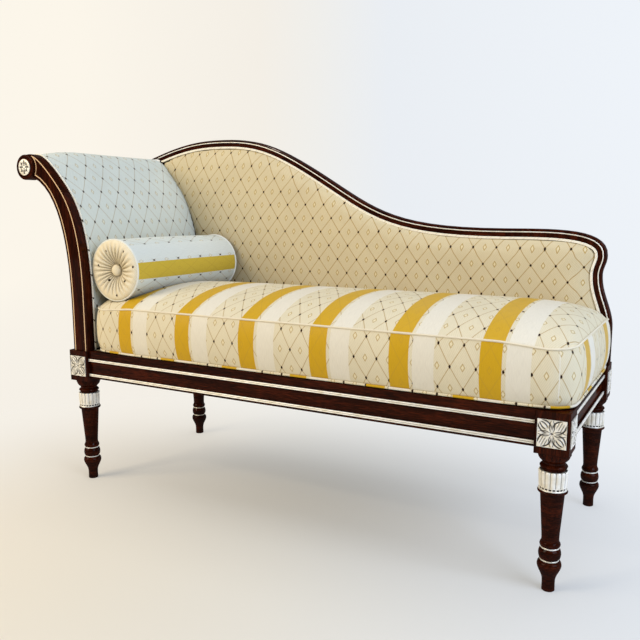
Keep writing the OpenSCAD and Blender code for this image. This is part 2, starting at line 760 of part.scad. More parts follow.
module arm_bottom_rail() {
    color("#b08a5a") along_y(board_back_y, frame_y)
        translate([board_in_x - arm_rail_from - arm_rail_w, seat_h]) square([arm_rail_w, bottom_rail_h]);
}
// A rail bent along the arm, planed to pass inside the outside panel and under the roll's core
module arm_rail(ends_shares) {
    color("#b08a5a") along_y(board_back_y, frame_y) difference() {
        ribbon(arm_section, arm_rail_from, arm_rail_from + arm_rail_w, ends_shares[0], ends_shares[1]);
        ribbon(outer_edge, arm_rail_w, -panel_in - arm_panel_t);
        translate([scroll_x, scroll_h]) circle(core_r);
    }
}
module arm_middle_rail() {
    arm_rail(middle_rail_shares);
}
module arm_top_rail() {
    arm_rail(top_rail_shares);
}
module arm_roll_core() {
    color("#b08a5a") translate([scroll_x, frame_y, scroll_h]) rotate([90, 0, 0])
        cylinder(r = core_r, h = frame_y - board_back_y);
}

module arm_webbing() {
    l = arm_pad_rear_y - pad_front_y;
    color("#8c7a5a") for (s = arm_web_shares)
        along_y(pad_front_y + s*l - arm_web_w/2, pad_front_y + s*l + arm_web_w/2)
            ribbon(arm_section, arm_pad_t + web_t/2, arm_pad_t + web_t*3/2, 0, top_rail_shares[1]);
}

// Padding of the arm: flush with the front board's edge, then swelling over it
module arm_pad() {
    l = arm_pad_rear_y - pad_front_y;
    function lift(s) = sin(90*min(s/pad_rise_share, 1));
    low = [0, 0, soft_gap];
    color("#c8d2d2") stuffed(
        [for (s = pad_station_shares) [
            for (i = [0:len(arm_section) - 1])
                let (p = arm_section[i] + lift(s)*(arm_full[i] - arm_section[i]))
                [p.x, pad_front_y + s*l, p.y] + (i == 0 ? low : [0, 0, 0])
        ]],
        [for (s = pad_station_shares) [
            for (i = [0:len(arm_section) - 1])
                let (p = arm_section[i] + arm_pad_t*normal(arm_section, i))
                [p.x, pad_front_y + s*l, p.y] + (i == 0 ? low : [0, 0, 0])
        ]]
    );
}

module arm_outside_panel() {
    color("#d8cfae") along_y(board_back_y, frame_y) ribbon(outer_edge, -panel_in, -panel_in - arm_panel_t);
}

// Moulded section of the show wood, as [distance from the outer edge, distance from the front]
crest_section = concat(
    [[crest_w, 0]],
    [for (k = [0:3]) crest_front_r*([1, 1] - [sin(90*k/3), cos(90*k/3)])],
    [for (k = [0:4]) [crest_rear_r*(1 - cos(90*k/4)), back_t - crest_rear_r*(1 - sin(90*k/4))]],
    [
        [crest_w - crest_front_r/2, back_t], [crest_w, tongue_rear - frame_y],
        [crest_w + tongue_w, tongue_rear - frame_y],
        [crest_w + tongue_w, tongue_y - frame_y], [crest_w, tongue_y - frame_y]
    ]
);

// The section swept along one stretch of the crest's edge
module crest_wood(from, to) {
    m = len(crest_section);
    n = to - from;
    edge = [for (i = [from:to]) [crest_edge_line[i], normal(crest_edge_line, i)]];
    polyhedron(
        [for (e = edge) for (q = crest_section) let (p = e[0] - q.x*e[1]) [p.x, frame_y + q.y, p.y]],
        concat(
            [for (j = [0:m - 3]) each [[m - 1, j + 1, j], [n*m + m - 1, n*m + j, n*m + j + 1]]],
            [for (i = [0:n - 1]) for (j = [0:m - 1])
                let (a = i*m + j, b = i*m + (j + 1) % m)
                each [[b + m, a + m, a], [b + m, a, b]]]
        ),
        convexity = 8
    );
}
module crest_hump() {
    color("#3a1c12") difference() {
        crest_wood(0, hump_end);
        along_y(frame_y - over, frame_y + back_t + over) arm_space(scroll_r + glue_gap);
    }
}
// Space that the back arm board with its tongue takes out of the crest's end
module arm_space(r) {
    translate([scroll_x, scroll_h]) circle(r);
    polygon(concat(
        [[scroll_x, scroll_h]], reversed(beside(stretch(arm_edge, 0.3, 1), -tongue_w - glue_gap))
    ));
}
module crest_sweep() {
    color("#3a1c12") crest_wood(hump_end, sweep_end);
}
module foot_post() {
    color("#3a1c12") difference() {
        crest_wood(sweep_end, len(crest_edge_line) - 1);
        translate([foot_x - crest_w/2, back_mid_y, seat_h - over])
            cylinder(r = dowel_r + glue_gap, h = dowel_l/2 + over);
    }
}
module crest_line() {
    color("#c9c6bd") along_y(frame_y - crest_line_out, frame_y) difference() {
        polygon(concat(below_crest(crest_line_in), reversed(below_crest(crest_line_in + crest_line_w))));
        arm_space(scroll_r + arm_swell + soft_gap);
    }
}
module crest_bead() {
    color("#e3d9b8") along_y(frame_y - crest_bead_out, tongue_y) difference() {
        polygon(concat(below_crest(crest_w), reversed(below_crest(crest_w + crest_bead_w))));
        arm_space(scroll_r + arm_swell + soft_gap);
    }
}

// Area inside the back frame, from the arm's edge to the foot post
module back_area(inset, side_gap) {
    side = beside(arm_edge, -side_gap);
    polygon(concat(
        back_side(inset, side), back_top(inset, side), [[at(below_crest(inset), 1).x, seat_h]]
    ));
}
module back_bottom_rail() {
    color("#b08a5a") along_y(tongue_y, tongue_rear) intersection() {
        back_area(crest_w + tongue_w, tongue_w);
        translate([board_in_x, seat_h]) square([back_l, back_rail_h]);
    }
}
module back_uprights() {
    color("#b08a5a") along_y(tongue_y, tongue_rear) intersection() {
        back_area(crest_w + tongue_w, tongue_w);
        for (s = upright_places_shares)
            translate([scroll_x + s*back_l - upright_w/2, seat_h + back_rail_h]) square([upright_w, back_rise]);
    }
}
module back_webbing() {
    margin = tongue_w/3;
    color("#8c7a5a") {
        along_y(tongue_y - web_t, tongue_y) intersection() {
            back_area(crest_w + crest_bead_w + margin, tongue_w/2);
            for (s = back_web_shares)
                translate([scroll_x + s*back_l - arm_web_w/2, seat_h + margin]) square([arm_web_w, back_rise]);
        }
        along_y(tongue_y - 2*web_t, tongue_y - web_t) intersection() {
            back_area(crest_w + crest_bead_w + margin, tongue_w/2);
            for (s = back_web_levels_shares)
                translate([scroll_x, seat_h + s*back_rise]) square([back_l, arm_web_w]);
        }
    }
}

// Padding of the back: a patch between its four edges, crowned towards the sitter
module back_pad() {
    inset = crest_w + crest_bead_w + pad_edge_gap;
    side = concat([arm_clear[0] + [0, soft_gap]], back_side(inset, part(arm_clear, 1, len(arm_clear) - 1)));
    all_top = back_top(inset, arm_clear);
    corner = len(all_top) - 1 - round(3.35*steps);
    top = concat([at(side, 1)], part(all_top, 1, corner));
    post = reversed(part(all_top, corner, len(all_top) - 1));
    foot = post[0] + [0, soft_gap];
    low_left = side[0];
    tip = at(side, 1);
    high_right = at(top, 1);
    function edge_point(u, v) =
        let (s = at(side, v), p = v == 0 ? foot : at(post, v), t = at(top, u), b = low_left + u*(foot - low_left))
        (1 - v)*b + v*t + (1 - u)*s + u*p
        - (1 - u)*(1 - v)*low_left - u*(1 - v)*foot - (1 - u)*v*tip - u*v*high_right;
    function crown(u, v) = pow(max(0, 1 - pow(abs(2*u - 1), 8)), 0.6)*pow(max(0, 1 - pow(abs(2*v - 1), 4)), 0.6);
    function row(u, rear) = [
        for (j = [0:pad_v]) let (p = edge_point(u, j/pad_v))
            [p.x, rear ? pad_rear_y - soft_gap : frame_y - pad_edge_out - (back_swell - pad_edge_out)*crown(u, j/pad_v), p.y]
    ];
    color("#e0d2a8") stuffed(
        [for (i = [0:pad_u]) row(i/pad_u, false)], [for (i = [0:pad_u]) row(i/pad_u, true)]
    );
}

module back_outside_panel() {
    color("#d8cfae") along_y(tongue_rear, tongue_rear + arm_panel_t) back_area(crest_w + glue_gap, glue_gap);
}

// Seat cushion: rounded in plan, bellied border, crowned top pressed down under the bolster
function plan_point(u, v, inset) =
    let (
        hx = cushion_hx - inset, hy = cushion_hy - inset,
        r = (v < 0.5 ? cushion_corner : cushion_back_corner) - inset,
        y = (2*v - 1)*hy, past = max(0, abs(y) - hy + r),
        x = hx - r + sqrt(max(0, r*r - past*past))
    )
    [cushion_cx + (2*u - 1)*x, cushion_cy + y];
function crown_at(u, v) =
    pow(max(0, 1 - pow(abs(2*v - 1), 2.2)), 0.75)*pow(max(0, 1 - pow(abs(2*u - 1), 14)), 0.6);
function under_bolster(x) =
    let (r = bolster_r*(1 + bolster_swell_share) + 3*soft_gap, d = (x - bolster_x)/r)
    abs(d) < 1 ? bolster_z - r*sqrt(1 - d*d) : bolster_z;
module seat_cushion() {
    top = [for (u = cushion_x_shares) [for (v = cushion_y_shares)
        let (p = plan_point(u, v, belly))
        [p.x, p.y, min(seam_z + crown_h*crown_at(u, v), max(seam_z - belly, under_bolster(p.x)))]
    ]];
    bottom = [for (u = cushion_x_shares) [for (v = cushion_y_shares)
        let (p = plan_point(u, v, 1.6*belly)) [p.x, p.y, cushion_z]
    ]];
    loops = [for (row = border_shares) if (row.y > 0) [for (u = cushion_x_shares) [for (v = cushion_y_shares)
        let (p = plan_point(u, v, row.x*belly)) [p.x, p.y, cushion_z + row.y*border_h]
    ]]];
    color("#e6d9ac") stuffed(top, bottom, loops);
}

// Bolster with gathered ends, as rings of points along its axis
module bolster() {
    n = 3*pleats;
    rear = bolster_front + bolster_l;
    function ring(r, y, deep) = [
        for (k = [0:n - 1])
            let (a = 360*k/n)
            [bolster_x + r*cos(a), y + deep*cos(pleats*a), bolster_z + r*sin(a)]
    ];
    rings = concat(
        [for (i = [len(end_shares) - 1:-1:0]) let (e = end_shares[i])
            ring(e[0]*bolster_r, bolster_front - e[1]*end_swell, e[2]*pleat_d)],
        [for (s = bolster_rings_shares)
            ring(bolster_r*(1 + bolster_swell_share*sin(180*s)), bolster_front + s*bolster_l, 0)],
        [for (e = end_shares) ring(e[0]*bolster_r, rear + e[1]*end_swell, -e[2]*pleat_d)]
    );
    m = len(rings);
    color("#dfe3dc") polyhedron(
        [for (r = rings) for (p = r) p],
        concat(
            [for (i = [0:m - 2]) for (k = [0:n - 1])
                let (a = i*n + k, b = i*n + (k + 1) % n)
                each [[a, a + n, b], [b, a + n, b + n]]],
            [[for (k = [0:n - 1]) k], [for (k = [n - 1:-1:0]) (m - 1)*n + k]]
        ),
        convexity = 6
    );
}
module bolster_buttons() {
    sunk = end_shares[6][1]*end_swell;
    rear = bolster_front + bolster_l;
    rise = button_r/2;
    ball_r = (button_r*button_r + rise*rise)/(2*rise);
    color("#e6d9ac") for (s = [-1, 1])
        translate([bolster_x, s < 0 ? bolster_front - sunk : rear + sunk, bolster_z]) rotate([s < 0 ? 90 : -90, 0, 0])
            intersection() {
                translate([0, 0, rise - ball_r]) sphere(ball_r);
                cylinder(r = button_r, h = button_r);
            }
}

corner_block(-1, -1);  // corner_block_front_left
corner_block(1, -1);  // corner_block_front_right
corner_block(-1, 1);  // corner_block_back_left
corner_block(1, 1);  // corner_block_back_right
leg(-1, -1);  // leg_front_left
leg(1, -1);  // leg_front_right
leg(-1, 1);  // leg_back_left
leg(1, 1);  // leg_back_right
fluted_cup(-1, -1);  // fluted_cup_front_left
fluted_cup(1, -1);  // fluted_cup_front_right
fluted_cup(-1, 1);  // fluted_cup_back_left
fluted_cup(1, 1);  // fluted_cup_back_right
leg_rings();
rosette_tile([left_x, -axis_y - block_w/2], 0);  // rosette_tile_front_left
rosette_tile([right_x, -axis_y - block_w/2], 0);  // rosette_tile_front_right
rosette_tile([right_x + block_w/2, -axis_y], 90);  // rosette_tile_right_front
rosette_tile([right_x + block_w/2, axis_y], 90);  // rosette_tile_right_back
rosette_tile([left_x - block_w/2, -axis_y], -90);  // rosette_tile_left_front
rosette_tile([left_x - block_w/2, axis_y], -90);  // rosette_tile_left_back
seat_rail(leg_span, axis_y, 0);  // front_rail
seat_rail(leg_span, axis_y, 180);  // back_rail
seat_rail(leg_depth, leg_span/2, -90);  // left_rail
seat_rail(leg_depth, leg_span/2, 90);  // right_rail
rail_beads(leg_span, axis_y, 0);  // front_rail_beads
rail_beads(leg_depth, leg_span/2, -90);  // left_rail_beads
rail_beads(leg_depth, leg_span/2, 90);  // right_rail_beads
corner_braces();
brace_screws();
middle_cross_bar();
seat_webbing_long();
seat_webbing_cross();
deck_cloth();
dust_cloth();
post_dowels();
arm_board_front();
arm_board_back();
arm_inlay();
scroll_roundel();
scroll_rosette();
arm_bead();
arm_bottom_rail();
arm_middle_rail();
arm_top_rail();
arm_roll_core();
arm_webbing();
arm_pad();
arm_outside_panel();
crest_hump();
crest_sweep();
foot_post();
crest_line();
crest_bead();
back_bottom_rail();
back_uprights();
back_webbing();
back_pad();
back_outside_panel();
seat_cushion();
bolster();
bolster_buttons();
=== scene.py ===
import math

import bmesh
import bpy
from mathutils import Matrix, Vector, noise
from mathutils.geometry import interpolate_bezier
from mathutils.kdtree import KDTree


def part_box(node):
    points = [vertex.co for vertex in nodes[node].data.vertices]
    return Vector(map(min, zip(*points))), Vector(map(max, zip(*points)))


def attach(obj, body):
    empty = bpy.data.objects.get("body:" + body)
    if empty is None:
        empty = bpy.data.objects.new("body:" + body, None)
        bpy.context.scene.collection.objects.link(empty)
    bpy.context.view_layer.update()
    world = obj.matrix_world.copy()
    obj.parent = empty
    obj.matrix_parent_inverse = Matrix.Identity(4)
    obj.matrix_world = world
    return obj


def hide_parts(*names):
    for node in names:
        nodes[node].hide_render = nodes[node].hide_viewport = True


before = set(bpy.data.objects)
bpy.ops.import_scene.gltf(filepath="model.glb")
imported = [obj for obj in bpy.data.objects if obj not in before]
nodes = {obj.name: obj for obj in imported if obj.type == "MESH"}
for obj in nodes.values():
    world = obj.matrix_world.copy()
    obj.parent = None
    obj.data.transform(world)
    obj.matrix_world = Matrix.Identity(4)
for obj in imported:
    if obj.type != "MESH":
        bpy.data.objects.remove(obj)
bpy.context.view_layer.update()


# The studio: a pale paper floor that sweeps up behind the recamier, a warm soft lamp before its
# left, a cool one at its right, and a camera at the eye height of a seated person.
def linear(code):
    """A colour written as sRGB hex, as linear red, green, blue and alpha."""
    channels = [int(code[i:i + 2], 16) / 255 for i in (1, 3, 5)]
    return (*[c / 12.92 if c <= 0.04045 else ((c + 0.055) / 1.055) ** 2.4 for c in channels], 1)


def add(owner, kind, sockets=None, output=0, stops=(), **settings):
    """Adds a node to a material or world, and gives the output that is asked for. A socket takes a
    value or another node's output; stops are the places and colours along a colour ramp."""
    tree = owner.node_tree
    node = tree.nodes.new("ShaderNode" + kind)
    for name, value in settings.items():
        setattr(node, name, value)
    for socket, value in (sockets or {}).items():
        if isinstance(value, bpy.types.NodeSocket):
            tree.links.new(value, node.inputs[socket])
        else:
            node.inputs[socket].default_value = value
    for k, (place, colour) in enumerate(stops):
        elements = node.color_ramp.elements
        stop = elements[k] if k < len(elements) else elements.new(place)
        stop.position = place
        stop.color = linear(colour)
    return node.outputs[output]


def join(owner, output, socket, shader="Principled BSDF"):
    """Links a node's output to a socket of the owner's own shader."""
    owner.node_tree.links.new(output, owner.node_tree.nodes[shader].inputs[socket])


def surface(name, **sockets):
    """A new material; its shader's sockets are named with _ for a space."""
    material = bpy.data.materials.new(name)
    material.use_nodes = True
    for socket, value in sockets.items():
        material.node_tree.nodes["Principled BSDF"].inputs[socket.replace("_", " ")].default_value = value
    return material


def made(name, data, stands_for=None):
    """Puts a new mesh, light or camera in the scene; a mesh may stand in for a CAD node."""
    piece = bpy.data.objects.new(name, data)
    bpy.context.collection.objects.link(piece)
    if stands_for:
        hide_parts(stands_for)
    return piece


camera = made("camera", bpy.data.cameras.new("camera"))
camera.data.sensor_width = 36
camera.data.lens = 40.16
camera.matrix_world = (
    Matrix.Translation((0.9680, -1.6133, 0.7425)) @ Matrix.Rotation(0.5137, 4, "Z")
    @ Matrix.Rotation(math.pi / 2 - 0.1496, 4, "X") @ Matrix.Rotation(-0.0027, 4, "Z")
)
bpy.context.scene.camera = camera
bpy.context.scene.view_settings.view_transform = "Standard"

floor_half = 9
floor_front = -7
floor_back = 3
sweep_r = 2.5
backdrop_top = 7
floor_shape = bmesh.new()
edge = [floor_shape.verts.new((-floor_half, y, 0)) for y in (floor_front, floor_back)]
edge += [
    floor_shape.verts.new((-floor_half, floor_back + sweep_r * math.sin(a), sweep_r * (1 - math.cos(a))))
    for a in [math.pi / 2 * k / 16 for k in range(1, 17)]
]
edge.append(floor_shape.verts.new((-floor_half, floor_back + sweep_r, backdrop_top)))
profile = [floor_shape.edges.new(pair) for pair in zip(edge, edge[1:])]
across = bmesh.ops.extrude_edge_only(floor_shape, edges=profile)["geom"]
bmesh.ops.translate(floor_shape, vec=(2 * floor_half, 0, 0),
                    verts=[v for v in across if isinstance(v, bmesh.types.BMVert)])
floor_mesh = bpy.data.meshes.new("floor")
floor_shape.to_mesh(floor_mesh)
floor_mesh.shade_smooth()
# Near the recamier the paper is lit like any matt sheet and holds its shadow; its colour there is painted
# light, warm on the left and darker and cooler on the right as painted shade. Further off the camera
# sees it at the paleness of an evenly lit studio, warm on the left and cool on the right.
paper = surface("matt paper sweep", Roughness=0.9, Specular_IOR_Level=0.1)
spot = add(paper, "TexCoord", output="Object")
rightward = add(paper, "VectorMath", {0: spot, 1: (0.871, 0.491, 0)}, output="Value", operation="DOT_PRODUCT")
place = add(paper, "MapRange", {"Value": rightward, "From Min": -3.2, "From Max": 3.2})
far_tint = add(paper, "ValToRGB", {"Fac": place},
               stops=[(0, "#fcf6ea"), (0.4, "#f4efe6"), (0.5, "#f0efeb"), (0.62, "#eaeef3"), (1, "#eff4fa")])
# Painted light in the paper's colour: warm on the left, darker and cooler on the right as painted shade.
painted_light_tint = add(paper, "ValToRGB", {"Fac": place},
                stops=[(0.38, "#e2d8c4"), (0.49, "#dcd7cb"), (0.6, "#cfd2d3")])
join(paper, painted_light_tint, "Base Color")
off = add(paper, "VectorMath", {0: spot, 1: (0.08, -0.58, 0)}, output="Value", operation="DISTANCE")
away = add(paper, "MapRange", {"Value": off, "From Min": 0.05, "From Max": 1.56},
           interpolation_type="SMOOTHSTEP")
camera_ray = add(paper, "LightPath", output="Is Camera Ray")
rays = camera_ray.node.outputs
direct = add(paper, "Math", {0: camera_ray, 1: rays["Is Glossy Ray"]}, operation="MAXIMUM")
looked = add(paper, "Math", {0: direct, 1: rays["Is Transmission Ray"]}, operation="MAXIMUM")
amount = add(paper, "Math", {0: looked, 1: away}, operation="MULTIPLY")
# Painted contact shadow: the glow is dimmed where the paper lies close under the legs and seat.
floor_occlusion = add(paper, "AmbientOcclusion", {"Distance": 0.12}, output="AO", samples=8)
painted_contact_shade = add(paper, "MapRange", {"Value": floor_occlusion, "To Min": 0.72})
pale = add(paper, "Emission", {"Color": far_tint, "Strength": painted_contact_shade})
lit = paper.node_tree.nodes["Principled BSDF"].outputs[0]
join(paper, add(paper, "MixShader", {0: amount, 1: lit, 2: pale}), "Surface", "Material Output")
floor_mesh.materials.append(paper)
made("floor", floor_mesh)


def lamp(name, place, aim, size, power, colour):
    """A square soft lamp that points from its place at another point."""
    light = bpy.data.lights.new(name, "AREA")
    light.size = size
    light.energy = power
    light.color = linear(colour)[:3]
    hung = made(name, light)
    hung.location = place
    hung.rotation_euler = (Vector(aim) - Vector(place)).to_track_quat("-Z", "Y").to_euler()


lamp("warm_key", (-2.3, -2.6, 2.2), (0, 0, 0.4), 1.9, 88, "#ffeed0")
lamp("cool_side", (2.8, -0.9, 1.75), (0, 0, 0.5), 2.0, 80, "#d8e6ff")
lamp("glint", (-1.5, -2.4, 2.6), (0, 0, 0.4), 0.22, 13, "#fff6e8")
lamp("top", (0, 0.2, 4.2), (0, 0, 0), 3.5, 54, "#e6f0ff")
world = bpy.data.worlds.new("studio")
world.use_nodes = True
world.node_tree.nodes["Background"].inputs["Color"].default_value = linear("#f2f2f0")
seen_directly = add(world, "LightPath", output="Is Camera Ray")
strength = add(world, "MapRange", {"Value": seen_directly, "To Min": 0.3, "To Max": 0.9})
join(world, strength, "Strength", "Background")
bpy.context.scene.world = world


# The show wood: dark mahogany, sawn and turned, then French polished. The shellac lies as a thin hard
# gloss over a brown nearly black, in which fine pores show as short streaks. Inner corners are
# darkened as painted shade.
def mahogany(name, pores):
    """Polished mahogany; pores is the size of a streak along x, y and z in millimetres."""
    wood = surface(name, Roughness=0.4, Specular_IOR_Level=0.0, Coat_Weight=0.11, Coat_Roughness=0.06)
    spot = add(wood, "TexCoord", output="Object")
    lie = add(wood, "Mapping", {"Vector": spot, "Scale": [1000 / size for size in pores]})
    streak = add(wood, "TexNoise", {"Vector": lie, "Scale": 1.0, "Detail": 3.0, "Roughness": 0.6})
    wide = add(wood, "Mapping", {"Vector": spot, "Scale": [1000 / (9 * size) for size in pores]})
    figure = add(wood, "TexNoise", {"Vector": wide, "Scale": 1.0, "Detail": 2.0})
    both = add(wood, "Mix", {0: 0.4, 2: streak, 3: figure}, data_type="FLOAT")
    tone = add(wood, "ValToRGB", {"Fac": both}, stops=[(0.36, "#100301"), (0.5, "#290d04"), (0.64, "#481a09")])
    # Painted shade: the colour is darkened where the wood is enclosed by nearby surfaces.
    wood_occlusion = add(wood, "AmbientOcclusion", {"Distance": 0.03}, output="AO", samples=6)
    painted_wood_shade = add(wood, "MapRange", {"Value": wood_occlusion, "From Min": 0.25, "From Max": 0.7, "To Min": 0.35})
    join(wood, add(wood, "HueSaturation", {"Color": tone, "Value": painted_wood_shade}), "Base Color")
    join(wood, add(wood, "Bump", {"Height": streak, "Strength": 0.15, "Distance": 0.0004}), "Normal")
    return wood


def finish(material, *names):
    """Gives CAD nodes their material."""
    for name in names:
        nodes[name].data.materials.clear()
        nodes[name].data.materials.append(material)


corners = ["front_left", "front_right", "back_left", "back_right"]
wood_long = mahogany("french polished mahogany, grain along the length", (26, 1.6, 1.6))
wood_deep = mahogany("french polished mahogany, grain across the depth", (1.6, 26, 1.6))
wood_tall = mahogany("french polished mahogany, grain upright", (1.6, 1.6, 26))
wood_turned = mahogany("turned and polished mahogany", (7, 7, 1.4))
finish(wood_long, "front_rail", "back_rail", "crest_hump", "crest_sweep", "scroll_roundel")
finish(wood_deep, "left_rail", "right_rail")
finish(wood_tall, "arm_board_front", "arm_board_back", "foot_post", *["corner_block_" + c for c in corners])

# The carving, beads and rings: gesso over limewood, covered with silver leaf and toned down with a
# thin ivory glaze, which lets a soft metal gleam through on the rounds. The cuts are darkened as
# painted shade, more where a point is enclosed and where it is cut deep.
silver = surface("toned silver leaf on gesso", Metallic=0.25, Roughness=0.34)
spot = add(silver, "TexCoord", output="Object")
cloud = add(silver, "TexNoise", {"Vector": spot, "Scale": 60.0, "Detail": 3.0})
glaze = add(silver, "ValToRGB", {"Fac": cloud}, stops=[(0.35, "#e4dcc8"), (0.6, "#f4f0e6")])
# Painted shade: the glaze is darkened where a point is enclosed, and again by how deep it is cut.
cuts = add(silver, "AmbientOcclusion", {"Distance": 0.006}, output="AO", samples=8)
glaze_with_painted_shade = add(silver, "Mix", {0: cuts, 6: linear("#2e2117"), 7: glaze}, output=2, data_type="RGBA")
depth = add(silver, "Attribute", output="Fac", attribute_name="cut")
glaze_with_painted_shade = add(silver, "Mix", {0: depth, 6: glaze_with_painted_shade, 7: linear("#21170f")}, output=2, data_type="RGBA")
join(silver, glaze_with_painted_shade, "Base Color")
finish(silver, "front_rail_beads", "left_rail_beads", "right_rail_beads")

# The rosette tiles: limewood squares let into the corner blocks. Four broad leaves lie along the
# diagonals with slender buds between them, all cut with a gouge from one flat face.
tile_edge = 0.965
tile_relief = 0.0016
tile_ground = 0.0009
tile_cut = 0.0019
tile_back = 0.0018


def hollow(share, width):
    """How deep a gouge cuts at a distance from the middle of its stroke, from 0 to 1."""
    return max(0, 1 - (share / width) ** 2)


def leaf(along, across, length, width):
    """A carved leaf: its relief, and how deep the cut round its edge is."""
    if not 0.02 < along < length:
        return 0, 0
    half = width * math.sin(math.pi * (along / length) ** 0.8) ** 0.8
    if half < 0.01:
        return 0, 0
    place = abs(across) / half
    if place > 1.25:
        return 0, 0
    ends = min(1, 6 * along / length, 5 * (1 - along / length))
    edge = hollow(place - 1.06, 0.2)
    return (1 - 0.45 * place ** 2 if place < 1 else 0), edge * ends


def carved(x, y):
    """The relief of a square rosette, for x and y from -1 to 1, as height and depth of cut."""
    best, cut = 0, 0
    for turn in range(4):
        a, b = (x, y) if turn % 2 == 0 else (y, -x)
        a, b = (a, b) if turn < 2 else (-a, -b)
        high, deep = leaf(a - 0.1, b, 0.92, 0.17)
        best, cut = max(best, high), max(cut, deep)
        rib = hollow(b, 0.035) * min(1, max(0, 4 * (a - 0.25)), max(0, 4 * (0.8 - a)))
        cut = max(cut, 0.5 * rib)
        d, e = (a + b) / math.sqrt(2), (a - b) / math.sqrt(2)
        high, deep = leaf(d - 0.16, e, 1.25, 0.36)
        if high > best:
            best = 0.92 * high
            cut = max(cut, deep)
            span = min(1, max(0, 6 * (d - 0.42)), max(0, 6 * (1.2 - d)))
            if turn % 2:
                bow = 0.15 * math.sin(math.pi * min(1, max(0, (d - 0.3) / 0.95)))
                cut = max(cut, hollow(abs(e) - bow, 0.06) * span)
            else:
                cut = max(cut, 0.6 * hollow((5.5 * e + 2 * d) % 1 - 0.5, 0.26) * span)
        elif deep > cut and high == 0:
            cut = max(cut, deep)
    eye = hollow(math.hypot(x + 0.5 * y, 1.6 * y) - 0.02, 0.11)
    if max(abs(x), abs(y)) > tile_edge:
        return 0.75, 0.3 * cut
    return max(best, 0.3), max(cut, eye)


def carving(name, shape, cuts, node, material, wood_below=None):
    """Makes a carved or turned piece from its bmesh, and keeps how deep each point is cut, which the silver
    paints as shade.
    """
    mesh = bpy.data.meshes.new(name)
    shape.to_mesh(mesh)
    values = mesh.attributes.new("cut", "FLOAT", "POINT")
    for v in mesh.vertices:
        values.data[v.index].value = cuts[v.index] if v.index < len(cuts) else 0
    mesh.materials.append(material)
    if wood_below is not None:
        mesh.materials.append(wood_turned)
        for face in mesh.polygons:
            face.material_index = int(face.center.z < wood_below)
    mesh.shade_smooth()
    mesh.set_sharp_from_angle(angle=math.radians(40))
    piece = made(name, mesh, node)
    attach(piece, "frame")


for name, turn in (("front_left", 0), ("front_right", 0), ("right_front", 90), ("right_back", 90),
                   ("left_front", -90), ("left_back", -90)):
    low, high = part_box("rosette_tile_" + name)
    half = (high.z - low.z) / 2
    tile = bmesh.new()
    bmesh.ops.create_grid(tile, x_segments=72, y_segments=72, size=1)
    cuts = []
    for v in tile.verts:
        height, cut = carved(v.co.x, v.co.y)
        cuts.append(cut)
        v.co = (half * v.co.x, -tile_relief * height - tile_ground + tile_cut * cut, half * v.co.y)
    skirt = bmesh.ops.extrude_edge_only(tile, edges=[e for e in tile.edges if e.is_boundary])["geom"]
    for v in skirt:
        if isinstance(v, bmesh.types.BMVert):
            v.co.y = tile_back
    bmesh.ops.edgeloop_fill(tile, edges=[e for e in tile.edges if e.is_boundary])
    bmesh.ops.recalc_face_normals(tile, faces=tile.faces)
    bmesh.ops.rotate(tile, matrix=Matrix.Rotation(math.radians(turn), 3, "Z"), cent=(0, 0, 0), verts=tile.verts)
    centre = (low + high) / 2
    top = tile_relief + tile_ground
    axis, ground_at = {0: (1, low.y + top), 90: (0, high.x - top), -90: (0, low.x + top)}[turn]
    centre[axis] = ground_at
    bmesh.ops.translate(tile, vec=centre, verts=tile.verts)
    carving("carved_tile_" + name, tile, cuts, "rosette_tile_" + name, silver)


# The legs: turned between centres, each from one square of mahogany together with the spigot that
# holds its cup and block. Two silvered rings are sprung into grooves above and below the ankle bead.
def spun(line, steps, axis="Z"):
    """A turned shape from its outline, given as distance from the axis and height along it."""
    shape = bmesh.new()
    dots = [shape.verts.new((r, 0, h) if axis == "Z" else (r, h, 0)) for r, h in line]
    run = [shape.edges.new(pair) for pair in zip(dots, dots[1:])]
    bmesh.ops.spin(shape, geom=dots + run, axis=(0, axis == "Y", axis == "Z"), cent=(0, 0, 0), dvec=(0, 0, 0),
                   angle=2 * math.pi, steps=steps, use_merge=True)
    bmesh.ops.remove_doubles(shape, verts=shape.verts, dist=1e-6)
    bmesh.ops.recalc_face_normals(shape, faces=shape.faces)
    return shape


leg_line = [
    (0, 0), (11.6, 0), (12.7, 0.9), (12.6, 9), (12.5, 17), (12.9, 24), (14.3, 30), (16.8, 36), (19.8, 42),
    (22.2, 47.5), (23.5, 52), (23.5, 55.5), (22.9, 58.8), (21.2, 61.4), (18.4, 63.1), (15.3, 63.3),
    (15.3, 66.3), (17.8, 66.5), (20.2, 69), (21.4, 72.8), (21.9, 77.5), (21.4, 82.2), (20.2, 86.2),
    (17.8, 88.9), (15.3, 89.1), (15.3, 92.1), (17.6, 92.3), (19.4, 93.9), (20.2, 96.8), (19.6, 99.8),
    (18.2, 102.2), (17.2, 105), (16.9, 109), (17.4, 120), (20.4, 162), (23.3, 203), (23.3, 204), (10, 204),
    (10, 330), (0, 330),
]
ring_feet = (63.3, 89.1)
ring_line = [(15.4, 0), (17.8, 0), (18.3, 0.6), (18.5, 1.5), (18.3, 2.4), (17.8, 3), (15.4, 3), (15.4, 0)]
rings = bmesh.new()
for corner in corners:
    low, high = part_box("leg_" + corner)
    stand = ((low.x + high.x) / 2, (low.y + high.y) / 2, 0)
    leg = spun([(r / 1000, z / 1000) for r, z in leg_line], 64)
    bmesh.ops.translate(leg, vec=stand, verts=leg.verts)
    carving("turned_leg_" + corner, leg, [], "leg_" + corner, wood_turned)
    for foot in ring_feet:
        ring = spun([(r / 1000, (z + foot) / 1000) for r, z in ring_line], 64)
        bmesh.ops.translate(ring, vec=stand, verts=ring.verts)
        loose = bpy.data.meshes.new("ring")
        ring.to_mesh(loose)
        rings.from_mesh(loose)
        bpy.data.meshes.remove(loose)
carving("silvered_leg_rings", rings, [], "leg_rings", silver)

